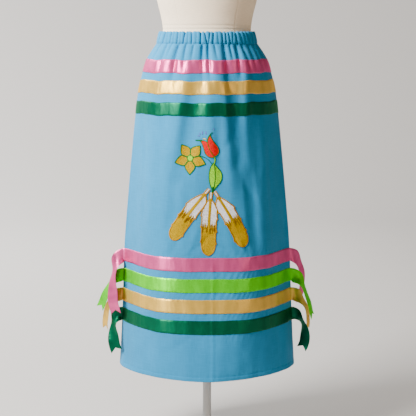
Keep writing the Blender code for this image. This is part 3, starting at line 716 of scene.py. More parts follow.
def turned_wood(name, colour):
    material, nodes, links, shader = new_material(name)
    set_inputs(shader, Roughness=0.38, Coat_Weight=0.25)
    grain = noise(nodes, links, (18, 160, 18), 6.0, uv=False, distortion=0.8)
    dye(nodes, links, shader, colour, grain, (0.3, 0.62), (0.5, 1.0), (0.7, 1.25))
    bump(nodes, links, shader, grain, 0.12, 0.0005)
    return material


def painted_metal(name, colour):
    """Powder coat: a fine even orange-peel, slightly dusty."""
    material, nodes, links, shader = new_material(name)
    set_inputs(shader, Roughness=0.42)
    peel = noise(nodes, links, (1, 1, 1), 2.0, uv=False, size=700.0)
    dust = noise(nodes, links, (1, 1, 1), 5.0, uv=False, size=7.0)
    dye(nodes, links, shader, colour, dust, (0.35, 0.93), (0.65, 1.05))
    bump(nodes, links, shader, peel, 0.15, 0.0003)
    return material


BLUE = (0.008, 0.232, 0.460)
SATIN_COLOURS = {
    "pink": (0.70, 0.095, 0.285),
    "gold": (0.76, 0.475, 0.082),
    "lime": (0.11, 0.72, 0.005),
    "green": (0.0, 0.098, 0.046),
}
cotton_blue = cotton("cotton_blue", BLUE)
satins = {name: satin(f"satin_{name}", colour) for name, colour in SATIN_COLOURS.items()}


# ---------------------------------------------------------------- skirt panels and casing
def make_panel(panel, name):
    rows = panel.drops >= BAND_HEIGHT - 0.0012
    points = panel.points[rows]
    drops = panel.drops[rows]
    uv = np.stack(
        np.broadcast_arrays(panel.across[None, :] * panel.half_arcs[rows][:, None], drops[:, None]),
        axis=-1,
    )
    faces = grid_faces(*points.shape[:2])
    piece = make_piece(name, points, faces, cotton_blue, [name], uv)
    thicken(piece, CLOTH)
    return piece


# The casing's cloth, from its stitching up the outer face, over the top fold and down the inside.
# Each point is (share of the casing's height below its top edge, lift off the panel's surface).
CASING_PROFILE = (
    (1.02, 0.0001), (0.99, 0.0006), (0.94, 0.0011), (0.86, 0.0015), (0.75, 0.0018), (0.60, 0.0020),
    (0.45, 0.0020), (0.30, 0.0018), (0.18, 0.0015), (0.09, 0.0010), (0.03, 0.0003), (0.00, -0.0006),
    (0.00, -0.0015), (0.03, -0.0022), (0.10, -0.0028), (0.30, -0.0031), (0.60, -0.0030), (0.98, -0.0024),
)


def make_waistband(panels):
    """The elastic casing: the panels' cloth turned down to the inside, round both panels."""
    rings, uvs = [], []
    for share, lift in CASING_PROFILE:
        ring, places = [], []
        for panel in panels:
            drop = share * BAND_HEIGHT
            across = panel.across[:-1]
            points = panel.at(across, drop, np.full(across.shape, lift))
            fullness = casing_relief(panel.side * -across, np.array([0.0]))[0]
            points[:, 2] += CASING_EDGE_RISE * fullness * (1 - smooth_step(share / 0.5))
            ring.append(points)
            x = across * panel.half_arcs[0] * CASING_FULLNESS
            places.append(np.stack([x, np.full(across.shape, drop + lift)], axis=1))
        rings.append(np.concatenate(ring))
        uvs.append(np.concatenate(places))
    faces = grid_faces(len(rings), len(rings[0]), closed=True)[:, ::-1]
    uv = np.concatenate(uvs)
    piece = make_piece("waistband_casing", rings, faces, cotton_blue, ["waistband"], uv)
    thicken(piece, CASING_CLOTH)
    return piece


# ---------------------------------------------------------------- ribbons
def ribbon_start(ribbon):
    """A number of its own for each ribbon, so that no two wave alike."""
    return 1.7 * sum(ord(letter) for letter in ribbon.name)


def ribbon_wave(ribbon, across):
    """A sewn ribbon is never quite level: it strays up and down, most where the cloth is gathered."""
    start = ribbon_start(ribbon)
    x = across * 0.33
    size = 1.0 if ribbon in TOP_RIBBONS else 0.3
    return size * (0.0011 * np.sin(x / 0.023 + start) + 0.0006 * np.sin(x / 0.0103 + 2 * start))


def ribbon_profile(share):
    """How far a ribbon stands off between its stitched edges: share runs 0 to 1 across it."""
    off = np.abs(2 * share - 1)
    return RIBBON_LIFT + RIBBON_PUFF * (1 - off**6)


def ribbon_run(panel, ribbon):
    """Points and UVs of the stretch sewn on a panel, rows down and columns across."""
    top, foot = ribbon_drops(ribbon)
    share = np.linspace(0, 1, RIBBON_ROWS)[:, None]
    across = panel.across[None, :]
    drops = top + share * (foot - top) + ribbon_wave(ribbon, across)
    x = across * np.interp((top + foot) / 2, panel.drops, panel.half_arcs)
    edge = np.abs(2 * share - 1) ** 2
    lift = ribbon_profile(share) + 0.00010 * pucker_wave(x + ribbon_start(ribbon)) * (0.4 + edge)
    points = panel.at(across, drops, lift)
    uv = np.stack(np.broadcast_arrays(x, drops - top), axis=-1)
    return points, uv


def make_ribbon(panel, ribbon, word):
    points, uv = ribbon_run(panel, ribbon)
    node_name = f"ribbon_{ribbon.name}_{word}"
    faces = grid_faces(*points.shape[:2])
    piece = make_piece(node_name, points, faces, satins[ribbon.colour], [node_name], uv)
    thicken(piece, RIBBON_THICKNESS)
    return piece


def tail_length(tail):
    return tail_centre(tail)[1][-1]


def tail_centre(tail):
    """The centreline of a free end from its seam, as (out, fore, up), and the length so far."""
    t = np.linspace(0, 1, 160)[:, None]
    handle = np.array([tail.handle, 0.0, 0.0])
    elbow = np.array([tail.elbow[0], tail.elbow[1], -tail.elbow[2]])
    tip = np.array([tail.tip[0], tail.tip[1], -tail.tip[2]])
    line = 3 * (1 - t) ** 2 * t * handle + 3 * (1 - t) * t**2 * elbow + t**3 * tip
    return line, length_along(line)


def tail_strip(tail, start, height):
    """Points of a free end, one row of RIBBON_ROWS points for each step out from the seam."""
    line, along = tail_centre(tail)
    length = along[-1]
    share = np.linspace(1, 0, RIBBON_ROWS) - 0.5  # from the ribbon's top edge to its lower edge
    notch = NOTCH * (1 - np.abs(2 * share))
    steps = np.linspace(0, 1, TAIL_STEPS)[:, None]
    goal = steps * (length - notch[None, :] * smooth_step((steps - 0.6) / 0.4))
    to_world = np.array([tail.out, -1.0, 1.0])
    ahead, behind = (point_at(line, along, goal + step) for step in (0.003, -0.003))
    way = unit((ahead - behind) * to_world)
    run = goal / length
    roll = np.pi / 2 * smooth_step(run / TAIL_TURN)
    settle = smooth_step((run - 0.6 * TAIL_TURN) / 0.5)
    yaw = np.radians(tail.yaw_top + settle * (tail.yaw_tip - tail.yaw_top))
    level = np.stack([tail.out * np.cos(yaw), np.sin(yaw), np.zeros_like(yaw)], axis=-1)
    width = np.sin(roll)[..., None] * level + np.cos(roll)[..., None] * np.array([0, 0, 1.0])
    width = unit(width - (width * way).sum(axis=-1, keepdims=True) * way)
    face = np.cross(way, width)
    phase = 155 * length + 500 * tail.handle
    wave = 0.0012 * np.sin(goal / 0.021 + phase) + 0.0008 * np.sin(goal / 0.0097 + 2 * phase)
    cup = 0.0022 * (1 - (2 * share[None, :]) ** 2) * np.sin(goal / 0.043 + phase)
    free = smooth_step(goal / 0.03)
    centre = point_at(line, along, goal) * to_world + start
    points = centre + share[None, :, None] * height * width + ((wave + cup) * free)[..., None] * face
    return points, goal


def make_low_ribbon(panel, ribbon):
    """A lower front ribbon in one length: a free end, the sewn run, and the other free end."""
    points, uv = ribbon_run(panel, ribbon)
    top, foot = ribbon_drops(ribbon)
    strips, uvs = [], []
    for tail in (t for t in TAILS if t.ribbon == ribbon.name):
        column = 0 if tail.out < 0 else -1
        edge = points[:, column]
        start = (edge[0] + edge[-1]) / 2
        strip, goal = tail_strip(tail, start, foot - top)
        # The free end grows out of the run's last column.
        blend = (1 - smooth_step(goal / 0.02))[..., None]
        strip = strip + blend * (edge[None, :, :] - strip[:1])
        strip = strip[1:].transpose(1, 0, 2)
        x = uv[:, column, 0][:, None] + tail.out * goal[1:].T
        place = np.stack([x, np.broadcast_to(uv[:, column, 1][:, None], x.shape)], axis=-1)
        if tail.out < 0:
            strips.insert(0, strip[:, ::-1])
            uvs.insert(0, place[:, ::-1])
        else:
            strips.append(strip)
            uvs.append(place)
    whole = np.concatenate([strips[0], points, strips[1]], axis=1)
    whole_uv = np.concatenate([uvs[0], uv, uvs[1]], axis=1)
    name, slot = f"ribbon_{ribbon.name}_front", f"satin_{ribbon.colour}"
    nodes = [name, f"tail_{ribbon.colour}_left", f"tail_{ribbon.colour}_right"]
    faces = grid_faces(*whole.shape[:2])
    piece = make_piece(name, whole, faces, satins[ribbon.colour], nodes, whole_uv)
    thicken(piece, RIBBON_THICKNESS)
    return piece


# ---------------------------------------------------------------- stitches
class Stitches:
    """Threads laid on a surface, gathered into one mesh. Each is a low roof of three points
    across, in steps along it."""

    def __init__(self, width, height, steps=3):
        self.width, self.height, self.steps = width, height, steps
        self.points = []

    def add(self, start, end, out, dome=0.0):
        """start and end are (n, 3) points on the surface; out is the surface's direction there."""
        t = np.linspace(0, 1, self.steps + 1)[None, :, None]
        line = start[:, None] * (1 - t) + end[:, None] * t
        round_over = np.sin(np.pi * np.clip(t, 0.06, 0.94))
        way = unit(end - start)[:, None]
        out = out[:, None]
        beside = unit(np.cross(way, out)) * self.width / 2
        rise = dome * round_over
        crown = line + out * (rise + self.height * (0.35 + 0.65 * round_over))
        low = line + out * rise * 0.9
        rows = np.stack([low - beside, crown, low + beside], axis=2)
        self.points.append(rows.reshape(-1, 3))

    def build(self, name, material, slot, nodes=()):
        points = np.concatenate(self.points)
        size = (self.steps + 1) * 3
        one = grid_faces(self.steps + 1, 3)[:, ::-1]
        count = len(points) // size
        faces = (one[None] + size * np.arange(count)[:, None, None]).reshape(-1, 4)
        return make_piece(name, points, faces, material, nodes)


def sew_along(stitches, panel, across, drop, lift, pitch=0.0034, length=0.0026):
    """Straight machine stitches along a line of drops, one for each across."""
    line = panel.at(across, drop, np.full(across.shape, lift))
    along = length_along(line)
    starts = np.arange(pitch, along[-1] - pitch, pitch)
    middle = np.interp(starts, along, across)
    middle_drop = np.interp(starts, along, np.broadcast_to(drop, across.shape))
    out = unit(panel.at(middle, middle_drop, np.full(middle.shape, 0.01)) - panel.at(middle, middle_drop))
    stitches.add(point_at(line, along, starts), point_at(line, along, starts + length), out)


BLUE_THREAD = (0.00055, 0.00030)  # width and height
SATIN_THREAD = (0.00045, 0.00022)
# Rows of blue stitching: two at the casing's foot and one at the hem, as (drop, lift).
BLUE_ROWS = ((BAND_HEIGHT + 0.0004, 0.0003), (BAND_HEIGHT - 0.0042, 0.0019), (HEM_STITCH, 0.0002))


def make_seam_stitches(panels):
    fine = np.linspace(-0.995, 0.995, 900)
    blue = Stitches(*BLUE_THREAD)
    for panel in panels:
        for drop, lift in BLUE_ROWS:
            sew_along(blue, panel, fine, drop, lift)
    blue.build("stitches_cotton", thread_material("thread_blue", shade(BLUE, 1.25)), "cotton")
    for colour, satin_colour in SATIN_COLOURS.items():
        sewn = Stitches(*SATIN_THREAD)
        for ribbon in TOP_RIBBONS + LOW_RIBBONS:
            if ribbon.colour != colour:
                continue
            top, foot = ribbon_drops(ribbon)
            for panel in panels:
                wave = ribbon_wave(ribbon, fine)
                for drop in (top + STITCH_INSET, foot - STITCH_INSET):
                    sew_along(sewn, panel, fine, drop + wave, RIBBON_LIFT + 0.0004)
        material = thread_material(f"thread_sewing_{colour}", shade(satin_colour, 1.15), 0.35)
        sewn.build(f"stitches_{colour}", material, f"satin_{colour}")


# ---------------------------------------------------------------- embroidery
def bezier(a, b, c, d, steps=14):
    t = np.linspace(0, 1, steps, endpoint=False)[:, None]
    a, b, c, d = (np.array(p, float) for p in (a, b, c, d))
    return (1 - t) ** 3 * a + 3 * (1 - t) ** 2 * t * b + 3 * (1 - t) * t**2 * c + t**3 * d


def path(*curves):
    """Points along Bezier curves end to end: the start, then (control, control, end) for each."""
    start, *rest = curves
    points = []
    for b, c, d in rest:
        points.append(bezier(start, b, c, d))
        start = d
    points.append(np.array([start], float))
    return np.concatenate(points)


def evenly(points, spacing, closed=False):
    if closed:
        points = np.concatenate([points, points[:1]])
    along = length_along(points)
    keep = np.concatenate([[True], np.diff(along) > 1e-9])
    points, along = points[keep], along[keep]
    count = max(2, int(along[-1] / spacing) + 1)
    return point_at(points, along, np.linspace(0, along[-1], count))


def border(points, width, spacing=0.0005, closed=False, slant=0.25, taper=False):
    """Satin stitch over a line: short threads across it."""
    line = evenly(points, spacing, closed)
    way = unit(np.gradient(line, axis=0))
    beside = np.stack([-way[:, 1], way[:, 0]], axis=-1)
    reach = np.full(len(line), width / 2)
    if taper:
        reach = reach * np.minimum(1, np.linspace(0, 1, len(line))[::-1] * 3 + 0.25)
    across = (beside + slant * way) * reach[:, None]
    return line - across, line + across


def fill(outline, degrees, spacing=0.0005, longest=0.0075, seed=1):
    """Rows of threads that fill an outline. Long rows are broken into stitches in brick order."""
    turn = math.radians(degrees)
    along = np.array([math.cos(turn), math.sin(turn)])
    beside = np.array([-along[1], along[0]])
    u, v = outline @ along, outline @ beside
    starts, ends = [], []
    rng = np.random.default_rng(seed)
    for k, level in enumerate(np.arange(v.min() + spacing / 2, v.max(), spacing)):
        v0, v1 = v, np.roll(v, -1)
        u0, u1 = u, np.roll(u, -1)
        hit = (v0 <= level) != (v1 <= level)
        crossings = np.sort(u0[hit] + (level - v0[hit]) / (v1[hit] - v0[hit]) * (u1[hit] - u0[hit]))
        for low, high in zip(crossings[::2], crossings[1::2]):
            cuts = [low]
            if high - low > longest * 1.4:
                first = low + longest * (0.25 + 0.25 * (k % 3) + 0.12 * rng.random())
                cuts += list(np.arange(first, high - longest * 0.3, longest))
            cuts.append(high)
            for a, b in zip(cuts, cuts[1:]):
                starts.append(a * along + level * beside)
                ends.append(b * along + level * beside)
    return np.array(starts), np.array(ends)


def embroider(stitches, panel, segments, lift, dome):
    """Lays threads given as (x, drop) ends, in metres from the panel's middle, on the panel."""
    starts, ends = segments

    def place(points, height):
        across = panel.across_of(points[:, 0], points[:, 1])
        return panel.at(across, points[:, 1], np.full(len(points), height))

    middle = (starts + ends) / 2
    out = unit(place(middle, 0.01) - place(middle, 0.0))
    stitches.add(place(starts, lift), place(ends, lift), out, dome)


def needle(panel, sets):
    """A function that adds stitches on the panel to the set of threads of a named colour."""

    def sew(colour, segments, lift, dome=0.0):
        embroider(sets[colour], panel, segments, lift, dome)

    return sew


FLOWER_AT = np.array([-0.0463, 0.3442])
FLOWER_TURN = 52
THREAD = (0.00066, 0.00030)
THREADS = {
    "golden": (0.42, 0.260, 0.0),
    "amber": (0.40, 0.200, 0.0),
    "bark": (0.15, 0.060, 0.004),
    "outline": (0.010, 0.120, 0.020),
    "leaf": (0.25, 0.62, 0.008),
    "red": (0.62, 0.003, 0.006),
    "white": (0.70, 0.70, 0.74),
    "lilac": (0.12, 0.10, 0.42),
    "yellow": (0.60, 0.45, 0.05),
}


def turned_by(points, degrees, centre):
    turn = math.radians(degrees)
    rotation = np.array([[math.cos(turn), -math.sin(turn)], [math.sin(turn), math.cos(turn)]])
    return points @ rotation.T + centre


def embroider_flower(sew):
    petal = path(
        (0.0078, 0.0036),
        ((0.0110, 0.0095), (0.0165, 0.0142), (0.0228, 0.0142)),
        ((0.0290, 0.0142), (0.0370, 0.0068), (0.0446, 0.0004)),
        ((0.0447, 0.0001), (0.0447, -0.0001), (0.0446, -0.0004)),
        ((0.0370, -0.0068), (0.0290, -0.0142), (0.0228, -0.0142)),
        ((0.0165, -0.0142), (0.0110, -0.0095), (0.0078, -0.0036)),
    )
    for k in range(5):
        degrees = -(FLOWER_TURN + 72 * k)
        shape = turned_by(petal, degrees, FLOWER_AT)
        sew("golden", fill(shape, degrees + 18, seed=k), 0.0008)
        sew("outline", border(shape, 0.0028, closed=True), 0.0009, 0.0005)
    ring = np.array([[math.cos(a), math.sin(a)] for a in np.linspace(0, 2 * np.pi, 40)[:-1]])
    sew("leaf", fill(ring * 0.0074 + FLOWER_AT, 30), 0.0010, 0.0004)


def embroider_tulip(sew):
    foot, left, right, dip = (0.0140, 0.3415), (-0.0215, 0.2938), (0.0088, 0.2781), (0.0016, 0.2995)
    seam_foot = (0.0207, 0.3385)
    left_petal = path(
        dip,
        ((0.0040, 0.3100), (0.0080, 0.3260), seam_foot),
        ((0.0185, 0.3408), (0.0165, 0.3415), foot),
        ((0.0050, 0.3412), (-0.0030, 0.3360), (-0.0062, 0.3260)),
        ((-0.0095, 0.3120), (-0.0130, 0.2990), left),
        ((-0.0140, 0.2935), (-0.0050, 0.2945), dip),
    )
    right_petal = path(
        dip,
        ((0.0040, 0.3100), (0.0080, 0.3260), seam_foot),
        ((0.0270, 0.3370), (0.0332, 0.3310), (0.0330, 0.3237)),
        ((0.0325, 0.3070), (0.0140, 0.3000), right),
        ((0.0040, 0.2840), (0.0010, 0.2910), dip),
    )
    sew("red", fill(left_petal, 58, seed=3), 0.0008)
    sew("red", fill(right_petal, 66, seed=4), 0.0008)
    for petal in (left_petal, right_petal):
        sew("outline", border(petal, 0.0023, closed=True), 0.0009, 0.0004)
    left_spike = path((-0.0330, 0.2940), ((-0.0290, 0.2945), (-0.0240, 0.2935), (-0.0130, 0.2960)))
    sew("outline", border(left_spike[::-1], 0.0034, taper=True), 0.0010, 0.0003)
    right_spike = path((0.0015, 0.2950), ((0.0020, 0.2860), (0.0080, 0.2780), (0.0155, 0.2712)))
    sew("outline", border(right_spike, 0.0032, taper=True), 0.0011, 0.0003)
    stigma = path((-0.0105, 0.2902), ((-0.0080, 0.2890), (-0.0050, 0.2895), (-0.0015, 0.2915)))
    sew("yellow", border(stigma, 0.0024), 0.0009, 0.0003)
    stamens = (
        ((-0.0120, 0.2695), (-0.0122, 0.2775)),
        ((-0.0028, 0.2695), (-0.0022, 0.2775)),
        ((-0.0250, 0.2815), (-0.0190, 0.2825)),
        ((-0.0200, 0.2740), (-0.0180, 0.2790)),
        ((0.0185, 0.2650), (0.0190, 0.2610)),
    )
    for stamen in stamens:
        sew("lilac", border(np.array(stamen), 0.0021), 0.0006)


def embroider_leaves(sew):
    top, foot = (0.0184, 0.3560), (0.0165, 0.4335)
    left = path(
        top,
        ((0.0100, 0.3640), (0.0058, 0.3780), (0.0058, 0.3930)),
        ((0.0058, 0.4120), (0.0110, 0.4260), foot),
        ((0.0225, 0.4150), (0.0265, 0.3880), top),
    )
    right = path(
        top,
        ((0.0265, 0.3880), (0.0225, 0.4150), foot),
        ((0.0210, 0.4300), (0.0250, 0.4240), (0.0300, 0.4180)),
        ((0.0400, 0.4080), (0.0425, 0.4000), (0.0415, 0.3900)),
        ((0.0395, 0.3760), (0.0280, 0.3700), top),
    )
    sew("leaf", fill(left, 72, seed=5), 0.0008)
    sew("leaf", fill(right, 104, seed=6), 0.0008)
    for lobe in (left, right):
        sew("outline", border(lobe, 0.0025, closed=True), 0.0009, 0.0004)
    stem = path((0.0205, 0.3405), ((0.0225, 0.3450), (0.0235, 0.3500), (0.0190, 0.3600)))
    sew("outline", border(stem, 0.0046), 0.0008, 0.0003)
    sew("leaf", border(stem, 0.0022), 0.0012, 0.0003)
    knot = path((0.0168, 0.4230), ((0.0168, 0.4280), (0.0162, 0.4330), (0.0158, 0.4385)))
    sew("outline", border(knot, 0.0072), 0.0011, 0.0005)
    twig = path((-0.0203, 0.3372), ((-0.0100, 0.3385), (0.0040, 0.3430), (0.0126, 0.3580)))
    sew("outline", border(twig, 0.0022), 0.0007, 0.0003)


# open_left and open_right: how long each side of the vane takes to reach its full width.
# teeth_left and teeth_right: distances from the quill's top where the vane has split into a barb.
Feather = namedtuple(
    "Feather", "name x drop heading length bend open_left open_right teeth_left teeth_right"
)
LEFT_TEETH = ((0.072, 0.110, 0.145), (0.054, 0.090, 0.152))
MIDDLE_TEETH = ((0.066, 0.098, 0.140), (0.074, 0.110, 0.143))
RIGHT_TEETH = ((0.058, 0.096, 0.150), (0.066, 0.104, 0.140))
FEATHERS = (
    Feather("left", 0.0058, 0.4287, -126.6, 0.176, -0.0035, 0.040, 0.020, *LEFT_TEETH),
    Feather("middle", 0.0113, 0.4390, -92.7, 0.175, -0.0015, 0.028, 0.028, *MIDDLE_TEETH),
    Feather("right", 0.0209, 0.4360, -60.8, 0.176, 0.0045, 0.020, 0.040, *RIGHT_TEETH),
)
VANE_FROM = 0.018
VANE_HALF = 0.0222
QUILL_END, QUILL_HALF = 0.022, 0.0050
WHITE_END = 0.091
RIM = 0.0034  # width of the satin-stitched rim
SHAFT_HALF = 0.0034
BARB, BARB_LONG = 0.0036, 0.015


def feather_half(s, length, opening, teeth):
    """Half width of one side of the vane at distances from the quill's top."""
    swell = np.clip((s - VANE_FROM) / opening, 0, 1) ** 0.6
    taper = 1 - 0.10 * np.clip((s - 0.06) / (length - 0.06), 0, 1)
    end = np.clip((s - (length - 0.028)) / 0.028, 0, 1)
    half = np.maximum(QUILL_HALF, VANE_HALF * swell * taper) * np.sqrt(np.clip(1 - end**2.3, 0, 1))
    for tooth in teeth:
        rise = (s - (tooth - BARB_LONG)) / BARB_LONG
        half = half + BARB * np.where((rise > 0) & (rise < 1), rise**2, 0)
    return half


def embroider_feather(feather, sew):
    heading = math.radians(feather.heading)
    ahead = np.array([math.cos(heading), -math.sin(heading)])
    beside = np.array([ahead[1], -ahead[0]])  # to the viewer's right of a feather that points down
    length = feather.length

    def place(s, t):
        s, t = np.broadcast_arrays(np.asarray(s, float), np.asarray(t, float))
        bow = feather.bend * np.sin(np.pi * s / length)
        start = np.array([feather.x, feather.drop])
        return start + s[..., None] * ahead + (t + bow)[..., None] * beside

    degrees = math.degrees(math.atan2(ahead[1], ahead[0]))
    rng = np.random.default_rng(len(feather.name))
    sides = (
        (-1, feather.open_left, feather.teeth_left),
        (1, feather.open_right, feather.teeth_right),
    )

    # The vane, golden all over.
    s = np.linspace(QUILL_END - 0.004, length, 150)
    edges = {way: way * feather_half(s, length, opening, teeth) for way, opening, teeth in sides}
    outline = np.concatenate([place(s, edges[-1]), place(s[::-1], edges[1][::-1])])
    sew("golden", fill(outline, degrees + 4, seed=7), 0.0008)

    # The white upper vanes over it, with golden barbs that run up into them.
    for way, opening, teeth in sides:
        upper = np.linspace(VANE_FROM + 0.006, WHITE_END, 40)
        outer = np.maximum(feather_half(upper, length, opening, teeth) - 0.85 * RIM, SHAFT_HALF + 0.0004)
        wide = outer[-1]
        foot = np.linspace(0, 1, 11)
        jag = WHITE_END + 0.012 * np.abs((foot * 5) % 2 - 1) - 0.006
        inner = SHAFT_HALF + 0.0010 * np.linspace(1, 0, len(upper))
        vane = np.concatenate(
            [
                place(upper, way * outer),
                place(jag, way * (wide + foot * (SHAFT_HALF - wide))),
                place(upper[::-1], way * inner),
            ]
        )
        sew("white", fill(vane, degrees - way * 24, seed=8 + way), 0.0011)
        offsets = way * np.linspace(SHAFT_HALF, wide, 12)
        tops = WHITE_END - 0.014 * rng.random(12) ** 2
        sew("golden", (place(tops, offsets), place(WHITE_END + 0.010, offsets)), 0.0014)
        # Darker lines between the barbs below the white.
        lines = way * (SHAFT_HALF + (wide - SHAFT_HALF) * rng.random(7))
        starts = WHITE_END - 0.004 + 0.014 * rng.random(7)
        for start, offset in zip(starts, lines):
            streak = np.linspace(start, start + 0.010 + 0.008 * rng.random(), 5)
            sew("bark", border(place(streak, offset), 0.0012), 0.0015, 0.0002)

    # Shaft, quill and rim.
    shaft = np.linspace(QUILL_END - 0.006, WHITE_END + 0.024, 40)
    middle = place(shaft, np.zeros_like(shaft))
    sew("golden", border(middle, 2.3 * SHAFT_HALF, taper=True), 0.0014, 0.0006)
    quill = np.linspace(0, QUILL_END - 0.002, 12)
    sew("white", border(place(quill, quill * 0), 0.0070), 0.0011, 0.0004)
    for way, opening, teeth in sides:
        whole = np.concatenate([np.linspace(0, QUILL_END, 12)[:-1], np.linspace(QUILL_END, length, 220)])
        reach = feather_half(whole, length, opening, teeth)
        rim = place(whole, way * np.maximum(reach - RIM / 2, 0))
        sew("amber", border(rim, RIM), 0.0012, 0.0005)


# Each motif piece: its name, how it is drawn, its colours and its slot. Each colour is a mesh of its
# own, and the first one's stands for the whole piece's CAD node.
FEATHER_COLOURS = ("golden", "white", "amber", "bark")
MOTIFS = [
    ("motif_flower", embroider_flower, ("golden", "outline", "leaf"), "thread_yellow"),
    ("motif_tulip", embroider_tulip, ("red", "outline", "yellow", "lilac"), "thread_red"),
    ("motif_leaves", embroider_leaves, ("leaf", "outline"), "thread_green"),
]
for one in FEATHERS:
    draw_one = partial(embroider_feather, one)
    MOTIFS.append((f"motif_feather_{one.name}", draw_one, FEATHER_COLOURS, "thread_yellow"))


def make_embroidery(panel):
    materials = {name: thread_material(f"thread_{name}", colour) for name, colour in THREADS.items()}
    for name, draw, colours, slot in MOTIFS:
        sets = {colour: Stitches(*THREAD) for colour in colours}
        draw(needle(panel, sets))
        for colour, stitches in sets.items():
            nodes = [name] if colour == colours[0] else []
            stitches.build(f"{name}_{colour}", materials[colour], slot, nodes)


# ---------------------------------------------------------------- dress form and stand
def with_seams(values, seams, width):
    """The values, with three more at each seam so that a groove can follow it."""
    near = [seam + off for seam in seams for off in (-width, 0.0, width)]
    kept = [v for v in values if all(abs(v - seam) > 1.4 * width for seam in seams)]
    return np.array(sorted(kept + near))


def make_torso():
    rises = np.arange(FORM_LEVELS[0].rise, FORM_LEVELS[-1].rise + FORM_ROW / 2, FORM_ROW)
    rises = with_seams(np.append(rises[:-1], FORM_LEVELS[-1].rise), FORM_LEVEL_SEAMS, FORM_SEAM_WIDTH)
    turns = with_seams(np.arange(0, 360, 360 / FORM_SIDES), FORM_UPRIGHT_SEAMS, FORM_SEAM_TURN)
    levels = table_at(FORM_LEVELS, rises)
    half, front, back, power = (levels[:, k][:, None] for k in range(4))
    angle = np.radians(turns)[None, :]
    c, s = np.cos(angle), np.sin(angle)
    depth = np.where(s > 0, back, front)
    x = half * np.sign(c) * np.abs(c) ** (2 / power)
    y = depth * np.sign(s) * np.abs(s) ** (2 / power)
    x = np.clip(x, -PLATE_X, PLATE_X)
    points = np.stack([x, y, np.broadcast_to((WAIST_Z + rises)[:, None], x.shape)], axis=-1)
    out = unit(np.stack([x / half**2, y / depth**2, np.zeros_like(x)], axis=-1))
    groove = np.zeros(x.shape)
    for seam in FORM_UPRIGHT_SEAMS:
        groove[:, np.isclose(turns, seam)] = 1.0
    for seam in FORM_LEVEL_SEAMS:
        groove[np.isclose(rises, seam), :] = 0.7
    points = points - out * (FORM_SEAM_DEPTH * groove)[..., None]
    points = points[::-1]  # rows run down
    uv = np.stack(np.broadcast_arrays(angle * FORM_RADIUS, (WAIST_Z + rises[::-1])[:, None]), axis=-1)
    rows, columns = points.shape[:2]
    top = np.arange(columns)
    foot = (rows - 1) * columns + top
    faces = grid_faces(rows, columns, closed=True).tolist() + [top.tolist(), foot[::-1].tolist()]
    cover = linen("form_linen", (0.95, 0.79, 0.59))
    piece = make_piece("form_cover", points, faces, cover, ["form_torso"], uv)
    piece.data.set_sharp_from_angle(angle=math.radians(FORM_SHARP))


def repaint(node_name, material):
    cad_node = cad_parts[node_name]
    cad_node.data.materials.clear()
    cad_node.data.materials.append(material)


# ---------------------------------------------------------------- stage
def make_stage():
    """The cove, from a small hole under the stand's base out to the wall's top edge."""
    profile = [(0.02, 0.0)]
    for k in range(COVE_STEPS + 1):
        angle = math.pi / 2 * k / COVE_STEPS
        reach = COVE_RADIUS - COVE_CURVE + COVE_CURVE * math.sin(angle)
        profile.append((reach, COVE_CURVE * (1 - math.cos(angle))))
    profile.append((COVE_RADIUS, COVE_TOP))
    turns = [2 * math.pi * k / COVE_SIDES for k in range(COVE_SIDES)]
    points = [(r * math.cos(t), r * math.sin(t), z - 0.001) for r, z in profile for t in turns]
    material, _, _, shader = new_material("sweep_paper")
    set_inputs(shader, Base_Color=(*COVE_COLOUR, 1), Roughness=0.95, Specular_IOR_Level=0.0)
    sweep = add_mesh("sweep", points, grid_faces(len(profile), COVE_SIDES, closed=True), material)


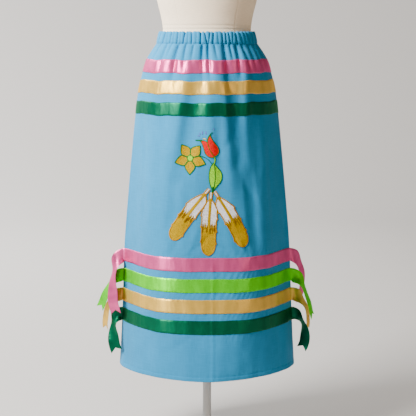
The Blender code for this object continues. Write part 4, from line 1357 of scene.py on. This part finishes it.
def make_lights():
    world = bpy.data.worlds.new("studio")
    bpy.context.scene.world = world
    world.use_nodes = True
    background = world.node_tree.nodes["Background"]
    set_inputs(background, Color=(*WORLD_COLOUR, 1), Strength=WORLD_STRENGTH)
    for lamp in LIGHTS:
        data = bpy.data.lights.new(lamp.name, "AREA")
        data.shape = "RECTANGLE"
        data.size, data.size_y = lamp.size
        data.energy = lamp.watts
        data.color = lamp.colour
        light = bpy.data.objects.new(lamp.name, data)
        bpy.context.scene.collection.objects.link(light)
        light.location = lamp.place
        way = np.array(lamp.target, float) - np.array(lamp.place, float)
        flat = math.hypot(way[0], way[1])
        light.rotation_euler = (math.atan2(flat, -way[2]), 0, math.atan2(-way[0], way[1]))


def make_camera():
    data = bpy.data.cameras.new("camera")
    data.sensor_width = SENSOR
    data.lens = LENS
    camera = bpy.data.objects.new("camera", data)
    bpy.context.scene.collection.objects.link(camera)
    camera.location = CAMERA_PLACE
    camera.rotation_euler = (math.radians(90 - CAMERA_DOWN), 0, 0)
    bpy.context.scene.camera = camera


# ---------------------------------------------------------------- assembly
def declare_sheets(ribbons, low_ribbons):
    for piece, ribbon, panel in ribbons + low_ribbons:
        top, foot = ribbon_drops(ribbon)
        length = 2 * float(np.interp((top + foot) / 2, panel.drops, panel.half_arcs))
        if (piece, ribbon, panel) in low_ribbons:
            length += sum(tail_length(tail) for tail in TAILS if tail.ribbon == ribbon.name)


def main():
    make_camera()
    make_stage()
    make_lights()
    front_panel, back_panel = Panel(FRONT), Panel(BACK)
    panels = (front_panel, back_panel)
    front = make_panel(front_panel, "skirt_front")
    back = make_panel(back_panel, "skirt_back")
    band = make_waistband(panels)
    ribbons = [
        (make_ribbon(panel, ribbon, word), ribbon, panel)
        for panel, word, group in (
            (front_panel, "front", TOP_RIBBONS),
            (back_panel, "back", TOP_RIBBONS + LOW_RIBBONS),
        )
        for ribbon in group
    ]
    low_ribbons = [(make_low_ribbon(front_panel, ribbon), ribbon, front_panel) for ribbon in LOW_RIBBONS]
    make_seam_stitches(panels)
    make_embroidery(front_panel)
    make_torso()
    wood = turned_wood("form_wood", (0.42, 0.25, 0.12))
    paint = painted_metal("stand_paint", (0.60, 0.59, 0.57))
    for name in ("form_neck_cap", "form_plate_left", "form_plate_right"):
        repaint(name, wood)
    for name in ("stand_pole", "stand_base"):
        repaint(name, paint)
    declare_sheets(ribbons, low_ribbons)


main()
